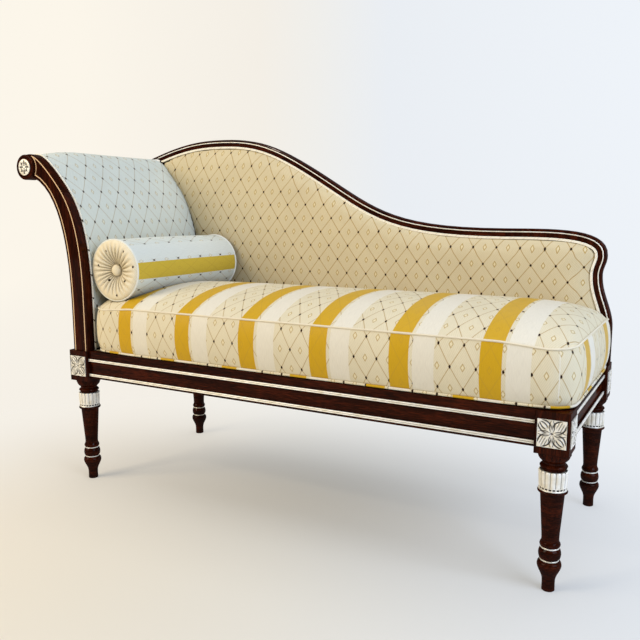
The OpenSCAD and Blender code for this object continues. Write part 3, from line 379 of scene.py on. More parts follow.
# The cups of the legs: turned, then carved with round tongues side by side that stand free at the top,
# over a row of drilled dots, on a collar whose lowest bead is left in wood.
tongues = 16
dots_round = 22
bead_top = 0.0063
carved_r = 0.0262
dot_z = 0.0109
tongue_foot = 0.013
tongue_top = 0.0425
cup_line = [(10.1, 0), (24.5, 0), (27.2, 0.7), (28.6, 2), (28.9, 3.4), (28.5, 4.8), (27.5, 5.9), (26.7, 6.2),
            (27.2, 6.6), (27.6, 7.4), (27.2, 8.2), (26.7, 8.5)]
cup_line += [(26.5, 9 + 0.6 * k) for k in range(7)]
cup_line += [(26.8 + 0.1 * k, 13.2 + 2.1 * k) for k in range(15)]
cup_line += [(28.3, 43.4), (28.2, 44.4), (27.5, 45.4), (26.3, 45.9), (25.3, 45.2), (24.9, 43), (20.8, 42.8),
             (20.4, 46), (10.1, 46), (10.1, 0)]
for corner in corners:
    low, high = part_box("fluted_cup_" + corner)
    cup = spun([(r / 1000, z / 1000) for r, z in cup_line], tongues * 14)
    cuts = []
    for v in cup.verts:
        turn = math.atan2(v.co.y, v.co.x)
        r = math.hypot(v.co.x, v.co.y)
        z = v.co.z
        wave = abs(math.sin(tongues * turn / 2))
        cut = 0
        sunk = 0
        if r > carved_r and z > tongue_foot:
            fade = min(1, (z - tongue_foot) / 0.002)
            sunk = 0.0017 * (1 - wave ** 0.6) * fade
            cut = 0.7 * hollow(wave, 0.24) * fade
            v.co.z -= 0.0028 * (1 - wave) ** 1.5 * max(0, (z - tongue_top) / 0.0035)
        elif r > carved_r and 0.0088 < z < tongue_foot:
            cut = hollow(1 - abs(math.sin(dots_round * turn / 2)), 0.6) * hollow(z - dot_z, 0.0019)
            sunk = 0.0022 * cut
            cut = min(1, 1.6 * cut)
        # Painted shade: the hollow inside the rim is darkened through the cut value, though nothing is cut
        # there.
        elif z > tongue_top:
            cut = 0.85 * hollow(r - 0.0228, 0.0025)
        cuts.append(cut)
        v.co.x *= 1 - sunk / r
        v.co.y *= 1 - sunk / r
    bmesh.ops.translate(cup, vec=((low.x + high.x) / 2, (low.y + high.y) / 2, low.z), verts=cup.verts)
    carving("carved_cup_" + corner, cup, cuts, "fluted_cup_" + corner, silver, wood_below=low.z + bead_top)

# The rosette on the scroll: four round petals about a raised eye, carved in one with a flat ring.
low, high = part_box("scroll_rosette")
centre = (low + high) / 2
disc_r = (high.x - low.x) / 2
disc_relief = 0.0018
disc_cut = 0.0014
disc = spun([(disc_r * k / 24, 0) for k in range(25)] + [(disc_r, 0.003), (0, 0.003)], 120, "Y")
cuts = []
for v in disc.verts:
    share = math.hypot(v.co.x, v.co.z) / disc_r
    gap = abs(math.sin(2 * math.atan2(v.co.z, v.co.x)))
    petal = (1 - 0.5 * (2 * share - 1.15) ** 2) * (0.6 + 0.4 * gap)
    cut = max(hollow(gap, 0.46) * (0.28 < share < 0.8), 0.7 * hollow(share - 0.24, 0.05),
              hollow(share - 0.62 + 0.3 * (1 - gap), 0.09) * (gap > 0.3),
              hollow(1 - gap, 0.05) * (0.4 < share < 0.75))
    height = 1 if share < 0.24 else petal if share < 0.86 else 0.45
    cuts.append(cut)
    if v.co.y < 0.001:
        v.co.y = -disc_relief * height + disc_cut * cut
bmesh.ops.translate(disc, vec=(centre.x, low.y + 0.0019, centre.z), verts=disc.verts)
carving("carved_scroll_rosette", disc, cuts, "scroll_rosette", silver)
stringing = surface("pearwood stringing", Base_Color=linear("#d9b68c"), Roughness=0.3, Coat_Weight=0.5)
finish(stringing, "arm_inlay")

# What the covers hide: beech rails and braces, jute webbing nailed over them, a hessian deck
# and the black cambric that closes the seat from below.
beech = surface("planed beech", Roughness=0.65)
lie = add(beech, "Mapping", {"Vector": add(beech, "TexCoord", output="Object"), "Scale": (40, 300, 300)})
fleck = add(beech, "TexNoise", {"Vector": lie, "Scale": 1.0, "Detail": 4.0})
join(beech, add(beech, "ValToRGB", {"Fac": fleck}, stops=[(0.4, "#a9804f"), (0.6, "#c9a272")]), "Base Color")
finish(beech, "corner_braces", "middle_cross_bar", "post_dowels", "arm_bottom_rail", "arm_middle_rail",
       "arm_top_rail", "arm_roll_core", "back_bottom_rail", "back_uprights")


def woven(name, light, dark, thread, *names):
    """Plain weave of two tones, with its thread spacing in millimetres, on some CAD nodes."""
    cloth = surface(name, Roughness=0.85)
    spot = add(cloth, "TexCoord", output="Object")
    scale = 1000 / thread / 2 / 3.14
    warp = add(cloth, "TexWave", {"Vector": spot, "Scale": scale}, output="Fac", bands_direction="X")
    weft = add(cloth, "TexWave", {"Vector": spot, "Scale": scale}, output="Fac", bands_direction="Y")
    over = add(cloth, "Math", {0: warp, 1: weft}, operation="MULTIPLY")
    join(cloth, add(cloth, "ValToRGB", {"Fac": over}, stops=[(0.1, dark), (0.8, light)]), "Base Color")
    join(cloth, add(cloth, "Bump", {"Height": over, "Strength": 0.4, "Distance": 0.0004}), "Normal")
    finish(cloth, *names)


woven("jute webbing", "#b49b6c", "#6f5a37", 2.5, "seat_webbing_long", "seat_webbing_cross", "arm_webbing",
      "back_webbing")
woven("hessian deck cloth", "#d3c6a4", "#8f7f5c", 1.6, "deck_cloth")
woven("black cambric", "#1c1c1e", "#0c0c0d", 1.0, "dust_cloth")
steel = surface("zinc plated steel screw", Base_Color=linear("#9a9a98"), Metallic=1.0, Roughness=0.35)
finish(steel, "brace_screws")

# The covers: a silk damask with a trellis of thin gold lines, a dark knot at each crossing and a
# small gold lozenge in each mesh; on the cushions satin stripes of gold and cream run between.
line_half = 0.00105
knot_half = 0.053
lozenge_half = (0.0053, 0.0092)
heart_share = 0.64
ribs_across = 13
stripe_pitch = 0.1927
gold_end = 0.228
cream_start = 0.27
cream_end = 0.514


def damask(name, mesh, knot, ground, bands=None, lines=0.55, satins=("#dcd5c3", "#c69c1c")):
    """Trellis damask on the UV map cloth, in metres. mesh is a lozenge's width and height, knot the
    place of one knot, bands where a gold stripe starts, as a share of the stripes' pitch, lines how
    strongly the gold threads show, and satins the colours of the cream and the gold stripe."""
    silk = surface(name, Roughness=0.62, Sheen_Weight=0.015, Sheen_Roughness=0.4, Specular_IOR_Level=0.14)
    wide, tall = mesh
    spot = add(silk, "UVMap", uv_map="cloth")
    cells = add(silk, "Mapping", {"Vector": spot, "Scale": (1 / wide, 1 / tall, 1),
                                  "Location": (-knot[0] / wide, -knot[1] / tall, 0)})
    column = add(silk, "SeparateXYZ", {"Vector": cells}, output="X")
    row = column.node.outputs["Y"]
    rising = add(silk, "Math", {0: column, 1: row}, operation="ADD")
    falling = add(silk, "Math", {0: column, 1: row}, operation="SUBTRACT")
    near_a, near_b, from_column, from_row = [
        add(silk, "Math", {0: way, 1: 0.5}, operation="PINGPONG") for way in (rising, falling, column, row)
    ]
    nearer = add(silk, "Math", {0: near_a, 1: near_b}, operation="MINIMUM")
    further = add(silk, "Math", {0: near_a, 1: near_b}, operation="MAXIMUM")
    line = add(silk, "Math", {0: nearer, 1: line_half * math.hypot(1 / wide, 1 / tall)}, operation="LESS_THAN")
    dot = add(silk, "Math", {0: further, 1: knot_half}, operation="LESS_THAN")

    half_w = lozenge_half[0] / wide
    half_h = lozenge_half[1] / tall
    slopes = []
    for way, half, other, other_half in (
            (from_column, half_w, from_row, half_h), (from_row, half_h, from_column, half_w)):
        part = add(silk, "Math", {0: way, 1: -1 / half, 2: 0.5 / half}, operation="MULTIPLY_ADD")
        slopes.append(add(silk, "Math", {0: other, 1: 1 / other_half, 2: part}, operation="MULTIPLY_ADD"))
    lozenge = add(silk, "Math", {0: slopes[0], 1: slopes[1]}, operation="MINIMUM")
    heart = add(silk, "Math", {0: lozenge, 1: heart_share}, operation="LESS_THAN")
    whole = add(silk, "Math", {0: lozenge, 1: 1.0}, operation="LESS_THAN")
    frame_line = add(silk, "Math", {0: whole, 1: heart}, operation="SUBTRACT")

    # The ground's twill turns in each lozenge. Its 0.3 mm ribs are drawn at about 4 mm, so that they show.
    checks = add(silk, "CombineXYZ", {0: rising, 1: falling, 2: 0.5})
    which = add(silk, "TexChecker", {"Vector": checks, "Scale": 1.0}, output="Fac")
    lean = add(silk, "Mix", {0: which, 2: rising, 3: falling}, data_type="FLOAT")
    rib = add(silk, "Math", {0: lean, 1: 0.5 / ribs_across}, operation="PINGPONG")
    twill = add(silk, "Math", {0: rib, 1: 2 * ribs_across}, operation="MULTIPLY")
    threads = add(silk, "Mapping", {"Vector": spot, "Scale": (900, 60, 1)})
    slub = add(silk, "TexNoise", {"Vector": threads, "Scale": 1.0, "Detail": 2.0})
    cloud = add(silk, "TexNoise", {"Vector": spot, "Scale": 9.0, "Detail": 2.0})
    weave = raised = 0.0
    for part, share in ((slub, 0.5), (cloud, 0.5), (twill, 0.45)):
        weave = add(silk, "Math", {0: part, 1: share, 2: weave}, operation="MULTIPLY_ADD")
    for part, share in ((line, 0.6), (frame_line, 0.6), (twill, 0.35)):
        raised = add(silk, "Math", {0: part, 1: share, 2: raised}, operation="MULTIPLY_ADD")
    lustre = add(silk, "MapRange", {"Value": weave, "From Min": 0.35, "From Max": 1.05,
                                    "To Min": 0.87, "To Max": 1.07})
    colour = add(silk, "HueSaturation", {"Color": linear(ground), "Value": lustre})
    for layer, share, tint in ((line, lines, "#a07c3c"), (frame_line, min(1, 1.3 * lines), "#a8863c"),
                               (heart, 0.3, "#efe0b0")):
        shown = add(silk, "Math", {0: layer, 1: share}, operation="MULTIPLY")
        colour = add(silk, "Mix", {0: shown, 6: colour, 7: linear(tint)}, output=2, data_type="RGBA")

    if bands is not None:
        along = add(silk, "SeparateXYZ", {"Vector": spot}, output="X")
        pitches = add(silk, "Math", {0: along, 1: 1 / stripe_pitch, 2: -bands}, operation="MULTIPLY_ADD")
        share = add(silk, "Math", {0: pitches, 1: 1.0}, operation="FLOORED_MODULO")
        gold = add(silk, "Math", {0: share, 1: gold_end}, operation="LESS_THAN")
        past = add(silk, "Math", {0: share, 1: cream_start}, operation="GREATER_THAN")
        before = add(silk, "Math", {0: share, 1: cream_end}, operation="LESS_THAN")
        cream = add(silk, "Math", {0: past, 1: before}, operation="MULTIPLY")
        bare = add(silk, "Math", {0: gold, 1: cream}, operation="ADD")
        plain = add(silk, "Mix", {0: gold, 6: linear(satins[0]), 7: linear(satins[1])},
                    output=2, data_type="RGBA")
        gloss = add(silk, "MapRange", {"Value": slub, "To Min": 0.9, "To Max": 1.1})
        satin = add(silk, "HueSaturation", {"Color": plain, "Value": gloss})
        # The trellis shows faintly through the satin, more on the gold than on the cream.
        trace = add(silk, "Math", {0: line, 1: frame_line}, operation="MAXIMUM")
        trace = add(silk, "Math", {0: twill, 1: 0.4, 2: trace}, operation="MULTIPLY_ADD")
        faint = add(silk, "Math", {0: gold, 1: 0.14, 2: 0.03}, operation="MULTIPLY_ADD")
        ghost = add(silk, "Math", {0: trace, 1: faint}, operation="MULTIPLY")
        satin = add(silk, "Mix", {0: ghost, 6: satin, 7: linear("#9a7a3a")}, output=2, data_type="RGBA")
        colour = add(silk, "Mix", {0: bare, 6: colour, 7: satin}, output=2, data_type="RGBA")
        figured = add(silk, "Math", {0: 1.0, 1: bare}, operation="SUBTRACT")
        raised = add(silk, "Math", {0: raised, 1: figured}, operation="MULTIPLY")
        dot = add(silk, "Math", {0: dot, 1: figured}, operation="MULTIPLY")
        join(silk, add(silk, "Math", {0: bare, 1: -0.2, 2: 0.62}, operation="MULTIPLY_ADD"), "Roughness")

    # Painted shade in the furrows of the gathered pleats, from the fold value stored on the bolster's ends.
    painted_fold_shade = add(silk, "Attribute", output="Fac", attribute_name="painted_fold_shade")
    for layer, share, tint in ((dot, 1.0, "#241003"), (painted_fold_shade, 0.45, "#7d6a45")):
        shown = add(silk, "Math", {0: layer, 1: share}, operation="MULTIPLY")
        colour = add(silk, "Mix", {0: shown, 6: colour, 7: linear(tint)}, output=2, data_type="RGBA")
    # Painted shade: the silk is darkened where other parts close over it, as in the corner of arm and back.
    silk_occlusion = add(silk, "AmbientOcclusion", {"Distance": 0.3}, output="AO", samples=6)
    painted_silk_shade = add(silk, "MapRange", {"Value": silk_occlusion, "From Min": 0.1, "From Max": 0.62, "To Min": 0.74})
    join(silk, add(silk, "HueSaturation", {"Color": colour, "Value": painted_silk_shade}), "Base Color")
    height = add(silk, "Math", {0: raised, 1: dot}, operation="ADD")
    height = add(silk, "Math", {0: slub, 1: 0.25, 2: height}, operation="MULTIPLY_ADD")
    join(silk, add(silk, "Bump", {"Height": height, "Strength": 0.5, "Distance": 0.0005}), "Normal")
    return silk


seat_mesh = (0.0535, 0.090)
damask_back = damask("trellis silk damask, back", (0.0611, 0.078), (0.546, 0.531), "#cfc19e", lines=0.66)
# The arm's ground and the bolster's cream are tinted cool: painted cool light, as the same cloth on the back,
# the seat and the gathered ends is warm cream.
damask_arm = damask("trellis silk damask, arm", (0.0645, 0.0925), (0.0015, 0.351), "#d4d8cc", lines=0.45)
damask_seat = damask("striped silk damask, seat", seat_mesh, (0.3235, 0.4824), "#d8cdaf",
                     bands=0.0142 / stripe_pitch - gold_end / 2)
damask_bolster = damask("striped silk damask, bolster", (0.0535, 0.096), (0.026, -0.071), "#d6dad0",
                        bands=-gold_end / 2, lines=0.35, satins=("#d8dbd1", "#c8ac3c"))
damask_welt = damask("self piping of trellis damask", (0.0607, 0.0775), (0, 0), "#f2ebd8", lines=0.2)
damask_end = damask("gathered silk damask", (0.0607, 0.0775), (0.01, 0.012), "#e4d8bb", lines=0.08)


def lay(mesh, place):
    """Writes the UV map cloth; place gives it from a face corner's point and its face."""
    cloth = mesh.uv_layers.get("cloth") or mesh.uv_layers.new(name="cloth")
    for face in mesh.polygons:
        for loop in face.loop_indices:
            point = mesh.vertices[mesh.loops[loop].vertex_index].co
            cloth.data[loop].uv = place(point, face)


def cover(name, node, material, place):
    """A cover with the shape of a CAD node, laid with its cloth."""
    shape = bmesh.new()
    shape.from_mesh(nodes[node].data)
    bmesh.ops.remove_doubles(shape, verts=shape.verts, dist=1e-5)
    mesh = bpy.data.meshes.new(name)
    shape.to_mesh(mesh)
    mesh.materials.append(material)
    mesh.shade_smooth()
    lay(mesh, place)
    return made(name, mesh, node)


# The arm and back are stuffed with horsehair over webbing and covered in the trellis damask, which
# is drawn tight over the roll and tacked out of sight. A self-piped welt closes each edge.
def evened(piece, size):
    """Remeshes a piece with even faces, as a simulation needs."""
    even = piece.modifiers.new("even", "REMESH")
    even.mode = "VOXEL"
    even.voxel_size = size
    shape = bpy.data.meshes.new_from_object(piece.evaluated_get(bpy.context.evaluated_depsgraph_get()))
    piece.modifiers.clear()
    piece.data = shape


def inflate(piece, held, cap, pressure):
    """Fills a closed cover in a cloth simulation. Held points stay, and none moves further than cap."""
    last_moment = 20
    rest = [v.co.copy() for v in piece.data.vertices]
    piece.vertex_groups.new(name="held").add(held, 1.0, "REPLACE")
    cloth = piece.modifiers.new("cloth", "CLOTH")
    cloth.settings.use_pressure = True
    cloth.settings.uniform_pressure_force = pressure
    cloth.settings.vertex_group_mass = "held"
    cloth.settings.effector_weights.gravity = 0
    cloth.point_cache.frame_end = last_moment
    for moment in range(1, last_moment + 1):
        bpy.context.scene.frame_set(moment)
    filled = piece.evaluated_get(bpy.context.evaluated_depsgraph_get())
    swollen = [v.co.copy() for v in filled.data.vertices]
    piece.modifiers.clear()
    piece.vertex_groups.clear()
    for v, start, end in zip(piece.data.vertices, rest, swollen):
        step = end - start
        v.co = start + step * min(1, cap / max(step.length, cap))
    bpy.context.scene.frame_set(1)


def rounded(piece):
    """One smooth subdivision, the same in the render and in the view."""
    smooth = piece.modifiers.new("rounded", "SUBSURF")
    smooth.levels = smooth.render_levels = 1


# The line up the inside of the arm and over its roll, drawn like the edge of the boards in the CAD.
tacked = 0.004
arm_low, arm_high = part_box("arm_pad")
back_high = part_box("back_pad")[1]
roll_low, roll_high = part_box("scroll_roundel")
roll = (roll_low + roll_high) / 2
roll_r = (roll_high.x - roll_low.x) / 2
seat_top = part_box("arm_board_front")[0].z
arm_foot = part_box("arm_bead")[1].x
rise = roll.z - seat_top
knee = Vector((arm_foot - 0.37 * (arm_foot - roll.x), 0, seat_top + 0.89 * rise))
knee_way = Vector((math.cos(math.radians(130)), 0, math.sin(math.radians(130))))
start = Vector((arm_foot, 0, seat_top + 0.28 * rise))
crown = roll + Vector((0, -roll.y, roll_r))
first = (knee - start).length
second = (crown - knee).length
arm_line = [Vector((arm_foot, 0, seat_top))]
arm_line += interpolate_bezier(
    start, start + Vector((0, 0, 0.42 * first)), knee - 0.29 * first * knee_way, knee, 97)
arm_line += interpolate_bezier(
    knee, knee + 0.90 * second * knee_way, crown + Vector((0.10 * second, 0, 0)), crown, 65)[1:]
arm_line += [
    roll + Vector((roll_r * math.cos(a), -roll.y, roll_r * math.sin(a)))
    for a in [math.radians(90 + 2 * k) for k in range(1, 81)]
]


def measured(line):
    """Gives a way to find how far along a line the place nearest to a point lies."""
    far = [0]
    for a, b in zip(line, line[1:]):
        far.append(far[-1] + (b - a).length)
    tree = KDTree(len(line))
    for k, place in enumerate(line):
        tree.insert(place, k)
    tree.balance()

    def along(point):
        k = tree.find(point)[1]
        best = (math.inf, 0)
        for i in (max(0, k - 1), min(k, len(line) - 2)):
            way = line[i + 1] - line[i]
            share = min(1, max(0, (point - line[i]).dot(way) / way.length_squared))
            best = min(best, ((line[i] + share * way - point).length, far[i] + share * way.length))
        return best[1]

    return along


along_arm = measured(arm_line)


def on_arm(point, face):
    return (point.y, along_arm(Vector((point.x, 0, point.z))))


def on_back(point, face):
    """The trellis of the back leans more towards its top, where the cloth was drawn over the stuffing."""
    up = point.z - 0.57
    return (point.x - 0.007 * up - 0.38 * up * abs(up), point.z)


def stuffed(name, node, material, place, hidden):
    """A stuffed cover made from a CAD pad: evened, filled, laid with its cloth and smoothed."""
    piece = cover(name, node, material, place)
    evened(piece, 0.007)
    inflate(piece, [v.index for v in piece.data.vertices if hidden(v.co)], 0.002, 4)
    lay(piece.data, place)
    piece.data.shade_smooth()
    rounded(piece)
    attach(piece, "frame")
    return piece


def drawn(piece, pull):
    """Moves each point of a piece by what pull gives for its place and its normal."""
    ways = [v.normal.copy() for v in piece.data.vertices]
    for v, way in zip(piece.data.vertices, ways):
        v.co += pull(v.co, way)


def under_welt(point, way):
    """How far the back's cover runs on under its welt, and further where it meets the arm."""
    flat = Vector((way.x, 0, way.z))
    if flat.length < 0.2:
        return Vector()
    by_arm = flat.x < -0.15 and point.x < -0.45 and point.z < 0.9
    return flat.normalized() * (0.01092 if by_arm else 0.0042)


arm_cover = stuffed("arm_cover", "arm_pad", damask_arm, on_arm,
                    lambda p: p.y > arm_high.y - tacked or p.y < arm_low.y + tacked)
back_cover = stuffed("back_cover", "back_pad", damask_back, on_back, lambda p: p.y > back_high.y - tacked)
drawn(back_cover, under_welt)
drawn(arm_cover, lambda point, way: Vector((0, tacked if way.y > 0.3 else 0, 0)))
for node, turn, shift in (("arm_bead", 1, 0.2375), ("crest_bead", -1, -0.231)):
    welt = cover(node.replace("bead", "welt"), node, damask_welt, lambda p, f: (p.x + turn * p.z, p.y + shift))
    round_over = welt.modifiers.new("rounded", "BEVEL")
    round_over.width = 0.0022
    round_over.segments = 3
    round_over.limit_method = "ANGLE"
    round_over.angle_limit = math.radians(50)
    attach(welt, "frame")
thin_line = cover("crest_silver_line", "crest_line", silver, lambda p, f: (p.x, p.z))
drawn(thin_line, lambda point, way: -0.001 * Vector((way.x, 0, way.z)).normalized())
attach(thin_line, "frame")
arm_outside = cover("arm_outside_cover", "arm_outside_panel", damask_arm, on_arm)
arm_outside.data.set_sharp_from_angle(angle=math.radians(40))
back_outside = cover("back_outside_cover", "back_outside_panel", damask_back, on_back)
back_outside.data.shade_flat()
for outside in (arm_outside, back_outside):
    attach(outside, "frame")


# The seat cushion: feathers in a damask case, with a crowned top and an upright border whose
# seams are piped in plain cream. Its stripes run from back to front and down the border.
cushion_low, cushion_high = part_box("seat_cushion")
bolster_low, bolster_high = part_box("bolster")
border_h = 0.124
crown_h = 0.052
belly = 0.008
front_corner = 0.060
back_corner = 0.034
corner_droop = 0.008
seam_z = cushion_low.z + border_h
cushion_mid = (cushion_low + cushion_high) / 2
half_x = (cushion_high.x - cushion_low.x) / 2
half_y = (cushion_high.y - cushion_low.y) / 2
roll_x = (bolster_low.x + bolster_high.x) / 2
roll_z = (bolster_low.z + bolster_high.z) / 2
nest_r = (bolster_high.x - bolster_low.x) / 2 + 0.0005


def plan(u, v, inset):
    """A point of the cushion's outline in plan, from shares of its length and depth."""
    corner = (front_corner if v < 0.5 else back_corner) - inset
    y = (2 * v - 1) * (half_y - inset)
    past = max(0, abs(y) - (half_y - inset) + corner)
    x = half_x - inset - corner + math.sqrt(max(0, corner ** 2 - past ** 2))
    return cushion_mid.x + (2 * u - 1) * x, cushion_mid.y + y


def droop(u, v):
    """How far the seam hangs lower at a corner, where the case holds less down."""
    return corner_droop * max(0, abs(2 * u - 1) - 0.84) / 0.16 * max(0, abs(2 * v - 1) - 0.7) / 0.3


def crown_at(u, v):
    """How full the top is, from 0 at its seam to 1."""
    return (max(0, 1 - abs(2 * v - 1) ** 2.2) ** 0.75) * (max(0, 1 - abs(2 * u - 1) ** 14) ** 0.6)


case = bmesh.new()
bmesh.ops.create_grid(case, x_segments=110, y_segments=56, size=1)
under = bmesh.ops.duplicate(case, geom=case.verts[:] + case.edges[:] + case.faces[:])["geom"]
bmesh.ops.translate(case, vec=(0, 0, -1), verts=[v for v in under if isinstance(v, bmesh.types.BMVert)])
bmesh.ops.reverse_faces(case, faces=[f for f in under if isinstance(f, bmesh.types.BMFace)])
bmesh.ops.bridge_loops(case, edges=[e for e in case.edges if e.is_boundary])
upright = [e for e in case.edges if abs(e.verts[0].co.z - e.verts[1].co.z) > 0.5]
bmesh.ops.subdivide_edges(case, edges=upright, cuts=7, use_grid_fill=False)
bmesh.ops.recalc_face_normals(case, faces=case.faces)
level_layer = case.verts.layers.float.new("level")
for v in case.verts:
    level = -v.co.z
    v[level_layer] = level
    u = (v.co.x + 1) / 2
    share = (1 - math.cos(math.pi * (v.co.y + 1) / 2)) / 2
    slack = droop(u, share)
    if level == 0:
        x, y = plan(u, share, belly + 0.6 * slack)
        d = (x - roll_x) / nest_r
        nest = roll_z - nest_r * math.sqrt(max(0, 1 - d * d)) if abs(d) < 1 else roll_z
        z = min(seam_z + crown_h * crown_at(u, share), max(seam_z - belly, nest)) - slack
    else:
        swell = math.sin(math.pi * min(1, level * 1.02)) ** 0.6
        x, y = plan(u, share, belly * (1 - swell) + (0.6 * belly if level == 1 else 0) + 0.6 * slack)
        z = seam_z - level * border_h - (1 - level) * slack
    v.co = (x, y, z)
case_mesh = bpy.data.meshes.new("seat_cushion_cover")
case.to_mesh(case_mesh)
case_mesh.materials.append(damask_seat)
level_of = case_mesh.attributes["level"]
seat_cover = made("seat_cushion_cover", case_mesh, "seat_cushion")


def rim(inset, z, sag=1):
    """The line of a cushion seam, taken round the outline from the front left corner."""
    steps = [(k / 80, (1 - math.cos(math.pi * k / 80)) / 2) for k in range(80)]
    ring = [(even, 0) for even, eased in steps] + [(1, eased) for even, eased in steps]
    ring += [(1 - even, 1) for even, eased in steps] + [(0, 1 - eased) for even, eased in steps]
    return [Vector((*plan(u, v, inset + 0.6 * droop(u, v)), z - sag * droop(u, v))) for u, v in ring]


outline = rim(0, 0, 0)
outline.append(outline[0])
along_cushion = measured(outline)
round_trip = sum((b - a).length for a, b in zip(outline, outline[1:]))


def on_cushion(point, face):
    """Across the top and the bottom, and along the border, which is pieced at its right end."""
    levels = [level_of.data[v].value for v in face.vertices]
    if max(levels) == 0:
        return (point.x, point.y + 0.6694)
    if min(levels) == 1:
        return (point.x, point.y)
    pieces_on = (face.normal.x > 0.45) * (1 + (point.y > -0.03))
    way = along_cushion(Vector((point.x, point.y, 0)))
    if face.center.x < outline[0].x + 0.01 and way > 1:
        way -= round_trip
    return (outline[0].x + way + 0.003 - seat_mesh[0] * pieces_on, point.z)


def sewn(index, point):
    """Whether a point of the case lies in a seam, in the bottom, or under the bolster."""
    level = level_of.data[index].value
    return level == 1 or level == 0 and point.z < seam_z + 0.001 or abs(point.x - roll_x) < nest_r


inflate(seat_cover, [v.index for v in case_mesh.vertices if sewn(v.index, v.co)], 0.006, 2)
lay(case_mesh, on_cushion)
case_mesh.shade_smooth()
rounded(seat_cover)
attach(seat_cover, "seat_cushion")


def piping(name, line, radius, body, material):
    """A covered cord sewn into a seam that runs round a cushion."""
    run = bpy.data.curves.new(name, "CURVE")
    run.dimensions = "3D"
    run.bevel_depth = radius
    run.bevel_resolution = 3
    spline = run.splines.new("POLY")
    spline.points.add(len(line) - 1)
    for point, place in zip(spline.points, line):
        point.co = (*place, 1)
    spline.use_cyclic_u = True
    cord = made(name, run)
    shape = bpy.data.meshes.new_from_object(cord.evaluated_get(bpy.context.evaluated_depsgraph_get()))
    bpy.data.objects.remove(cord)
    shape.shade_smooth()
    shape.materials.append(material)
    piece = made(name, shape)
    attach(piece, body)
    return piece


cream_silk = surface("cream silk piping, cut on the bias", Base_Color=linear("#ddd2b8"), Roughness=0.7)
piping("seat_piping_top", rim(belly - 0.0002, seam_z), 0.0024, "seat_cushion", cream_silk)
low_cord = piping("seat_piping_bottom", rim(belly * 1.1, cushion_low.z + 0.0042, 0), 0.0029, "seat_cushion",
                  damask_seat)
lay(low_cord.data, lambda p, f: (outline[0].x + along_cushion(Vector((p.x, p.y, 0))) + 0.058, p.z + 0.0165))


# The bolster: a round cushion whose ends are gathered into pleats under a covered button, with
# piping round each rim. Its damask lies along it, so that one gold stripe faces the sitter.
bolster_r = 0.081
hub_r = 0.0115
end_out = 0.011
pleats = 27
pleat_depth = 0.0075
bolster_mid_y = (bolster_low.y + bolster_high.y) / 2
bolster_half = (bolster_high.y - bolster_low.y) / 2 - end_out
end_line = [(hub_r, -0.9), (0.016, -0.7), (0.024, -0.1), (0.034, 0.5), (0.045, 0.86), (0.056, 1.0),
            (0.066, 0.93), (0.074, 0.68), (0.079, 0.35), (bolster_r, 0)]
half_line = [(r, -bolster_half - share * end_out) for r, share in end_line]
body_line = [
    (bolster_r * (1 + 0.03 * math.sin(math.pi * k / 40)), bolster_half * (k / 20 - 1)) for k in range(1, 40)
]
full_line = half_line + body_line + [(r, -y) for r, y in reversed(half_line)]
tube = spun([(0, full_line[0][1])] + full_line + [(0, full_line[-1][1])], 10 * pleats, "Y")
# How deep each point lies in a pleat's furrow, kept for painted shade in the silk.
painted_fold_shades = []
for v in tube.verts:
    painted_fold_shade = 0
    r = math.hypot(v.co.x, v.co.z)
    angle = math.atan2(v.co.z, v.co.x)
    share = (bolster_r - r) / (bolster_r - hub_r)
    if abs(v.co.y) > 0.9 * bolster_half and r > 0.01 and share > 0.1:
        around = Vector((2.5 * math.cos(angle), 2.5 * math.sin(angle), math.copysign(3, v.co.y)))
        wander = 1.4 * noise.noise(around)
        fold = (1 - abs(math.sin((pleats * angle + wander) / 2 + 1.1 * share))) ** 1.1
        painted_fold_shade = fold * min(1, share * 1.3)
        v.co.y -= math.copysign(pleat_depth * min(1, (share - 0.1) * 2.8) * fold, v.co.y)
    painted_fold_shades.append(painted_fold_shade)
bmesh.ops.translate(tube, vec=(roll_x, bolster_mid_y, roll_z), verts=tube.verts)
tube_mesh = bpy.data.meshes.new("bolster_cover")
tube.to_mesh(tube_mesh)
shaded = tube_mesh.attributes.new("painted_fold_shade", "FLOAT", "POINT")
for k, painted_fold_shade in enumerate(painted_fold_shades):
    shaded.data[k].value = painted_fold_shade
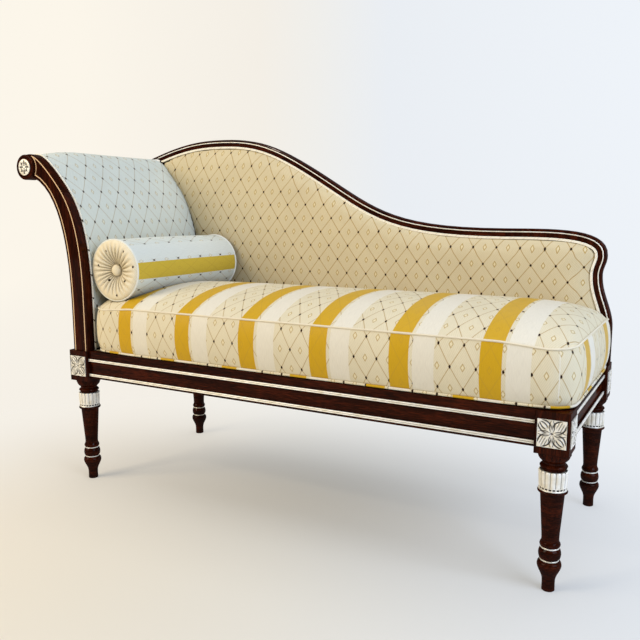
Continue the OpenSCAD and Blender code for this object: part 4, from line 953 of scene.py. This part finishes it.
tube_mesh.materials.append(damask_bolster)
tube_mesh.materials.append(damask_end)
for face in tube_mesh.polygons:
    from_axis = math.hypot(face.center.x - roll_x, face.center.z - roll_z)
    face.material_index = int(from_axis < bolster_r - 0.0005)


def on_bolster(point, face):
    """Round the bolster and along it; flat on its gathered ends."""
    if face.material_index == 1:
        return (point.x - roll_x, point.z - roll_z)
    return (bolster_r * math.atan2(point.z - roll_z, point.x - roll_x), point.y)


lay(tube_mesh, on_bolster)
tube_mesh.shade_smooth()
bolster_cover = made("bolster_cover", tube_mesh, "bolster")
rounded(bolster_cover)
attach(bolster_cover, "bolster")
white_silk = surface("white silk piping, cut on the bias", Base_Color=linear("#dfdfd6"), Roughness=0.7)
ends = (("front", -1), ("rear", 1))
for name, side in ends:
    rim_y = bolster_mid_y + side * bolster_half
    ring = [
        Vector((roll_x + bolster_r * math.cos(a), rim_y, roll_z + bolster_r * math.sin(a)))
        for a in [2 * math.pi * k / 96 for k in range(96)]
    ]
    piping("bolster_piping_" + name, ring, 0.0026, "bolster", white_silk)

button_r = 0.0155
button_h = 0.0095
button_hem = 0.0075
button_in = 0.0055
button_line = [(button_r * math.sin(a), button_h * math.cos(a)) for a in [math.pi / 12 * k for k in range(6)]]
button_line += [(button_r, 0), (0.97 * button_r, -button_hem)]
for name, side in ends:
    dome = spun(button_line, 40, "Y")
    bmesh.ops.holes_fill(dome, edges=dome.edges)
    bmesh.ops.scale(dome, vec=(1, side, 1), verts=dome.verts)
    hem_y = bolster_mid_y + side * (bolster_half - button_in)
    bmesh.ops.translate(dome, vec=(roll_x, hem_y, roll_z), verts=dome.verts)
    bmesh.ops.recalc_face_normals(dome, faces=dome.faces)
    shape = bpy.data.meshes.new("bolster_button_" + name)
    dome.to_mesh(shape)
    shape.materials.append(damask_end)
    lay(shape, lambda p, f: (p.x - roll_x + 0.03, p.z - roll_z))
    shape.shade_smooth()
    button = made("bolster_button_" + name, shape, "bolster_buttons")
    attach(button, "bolster")
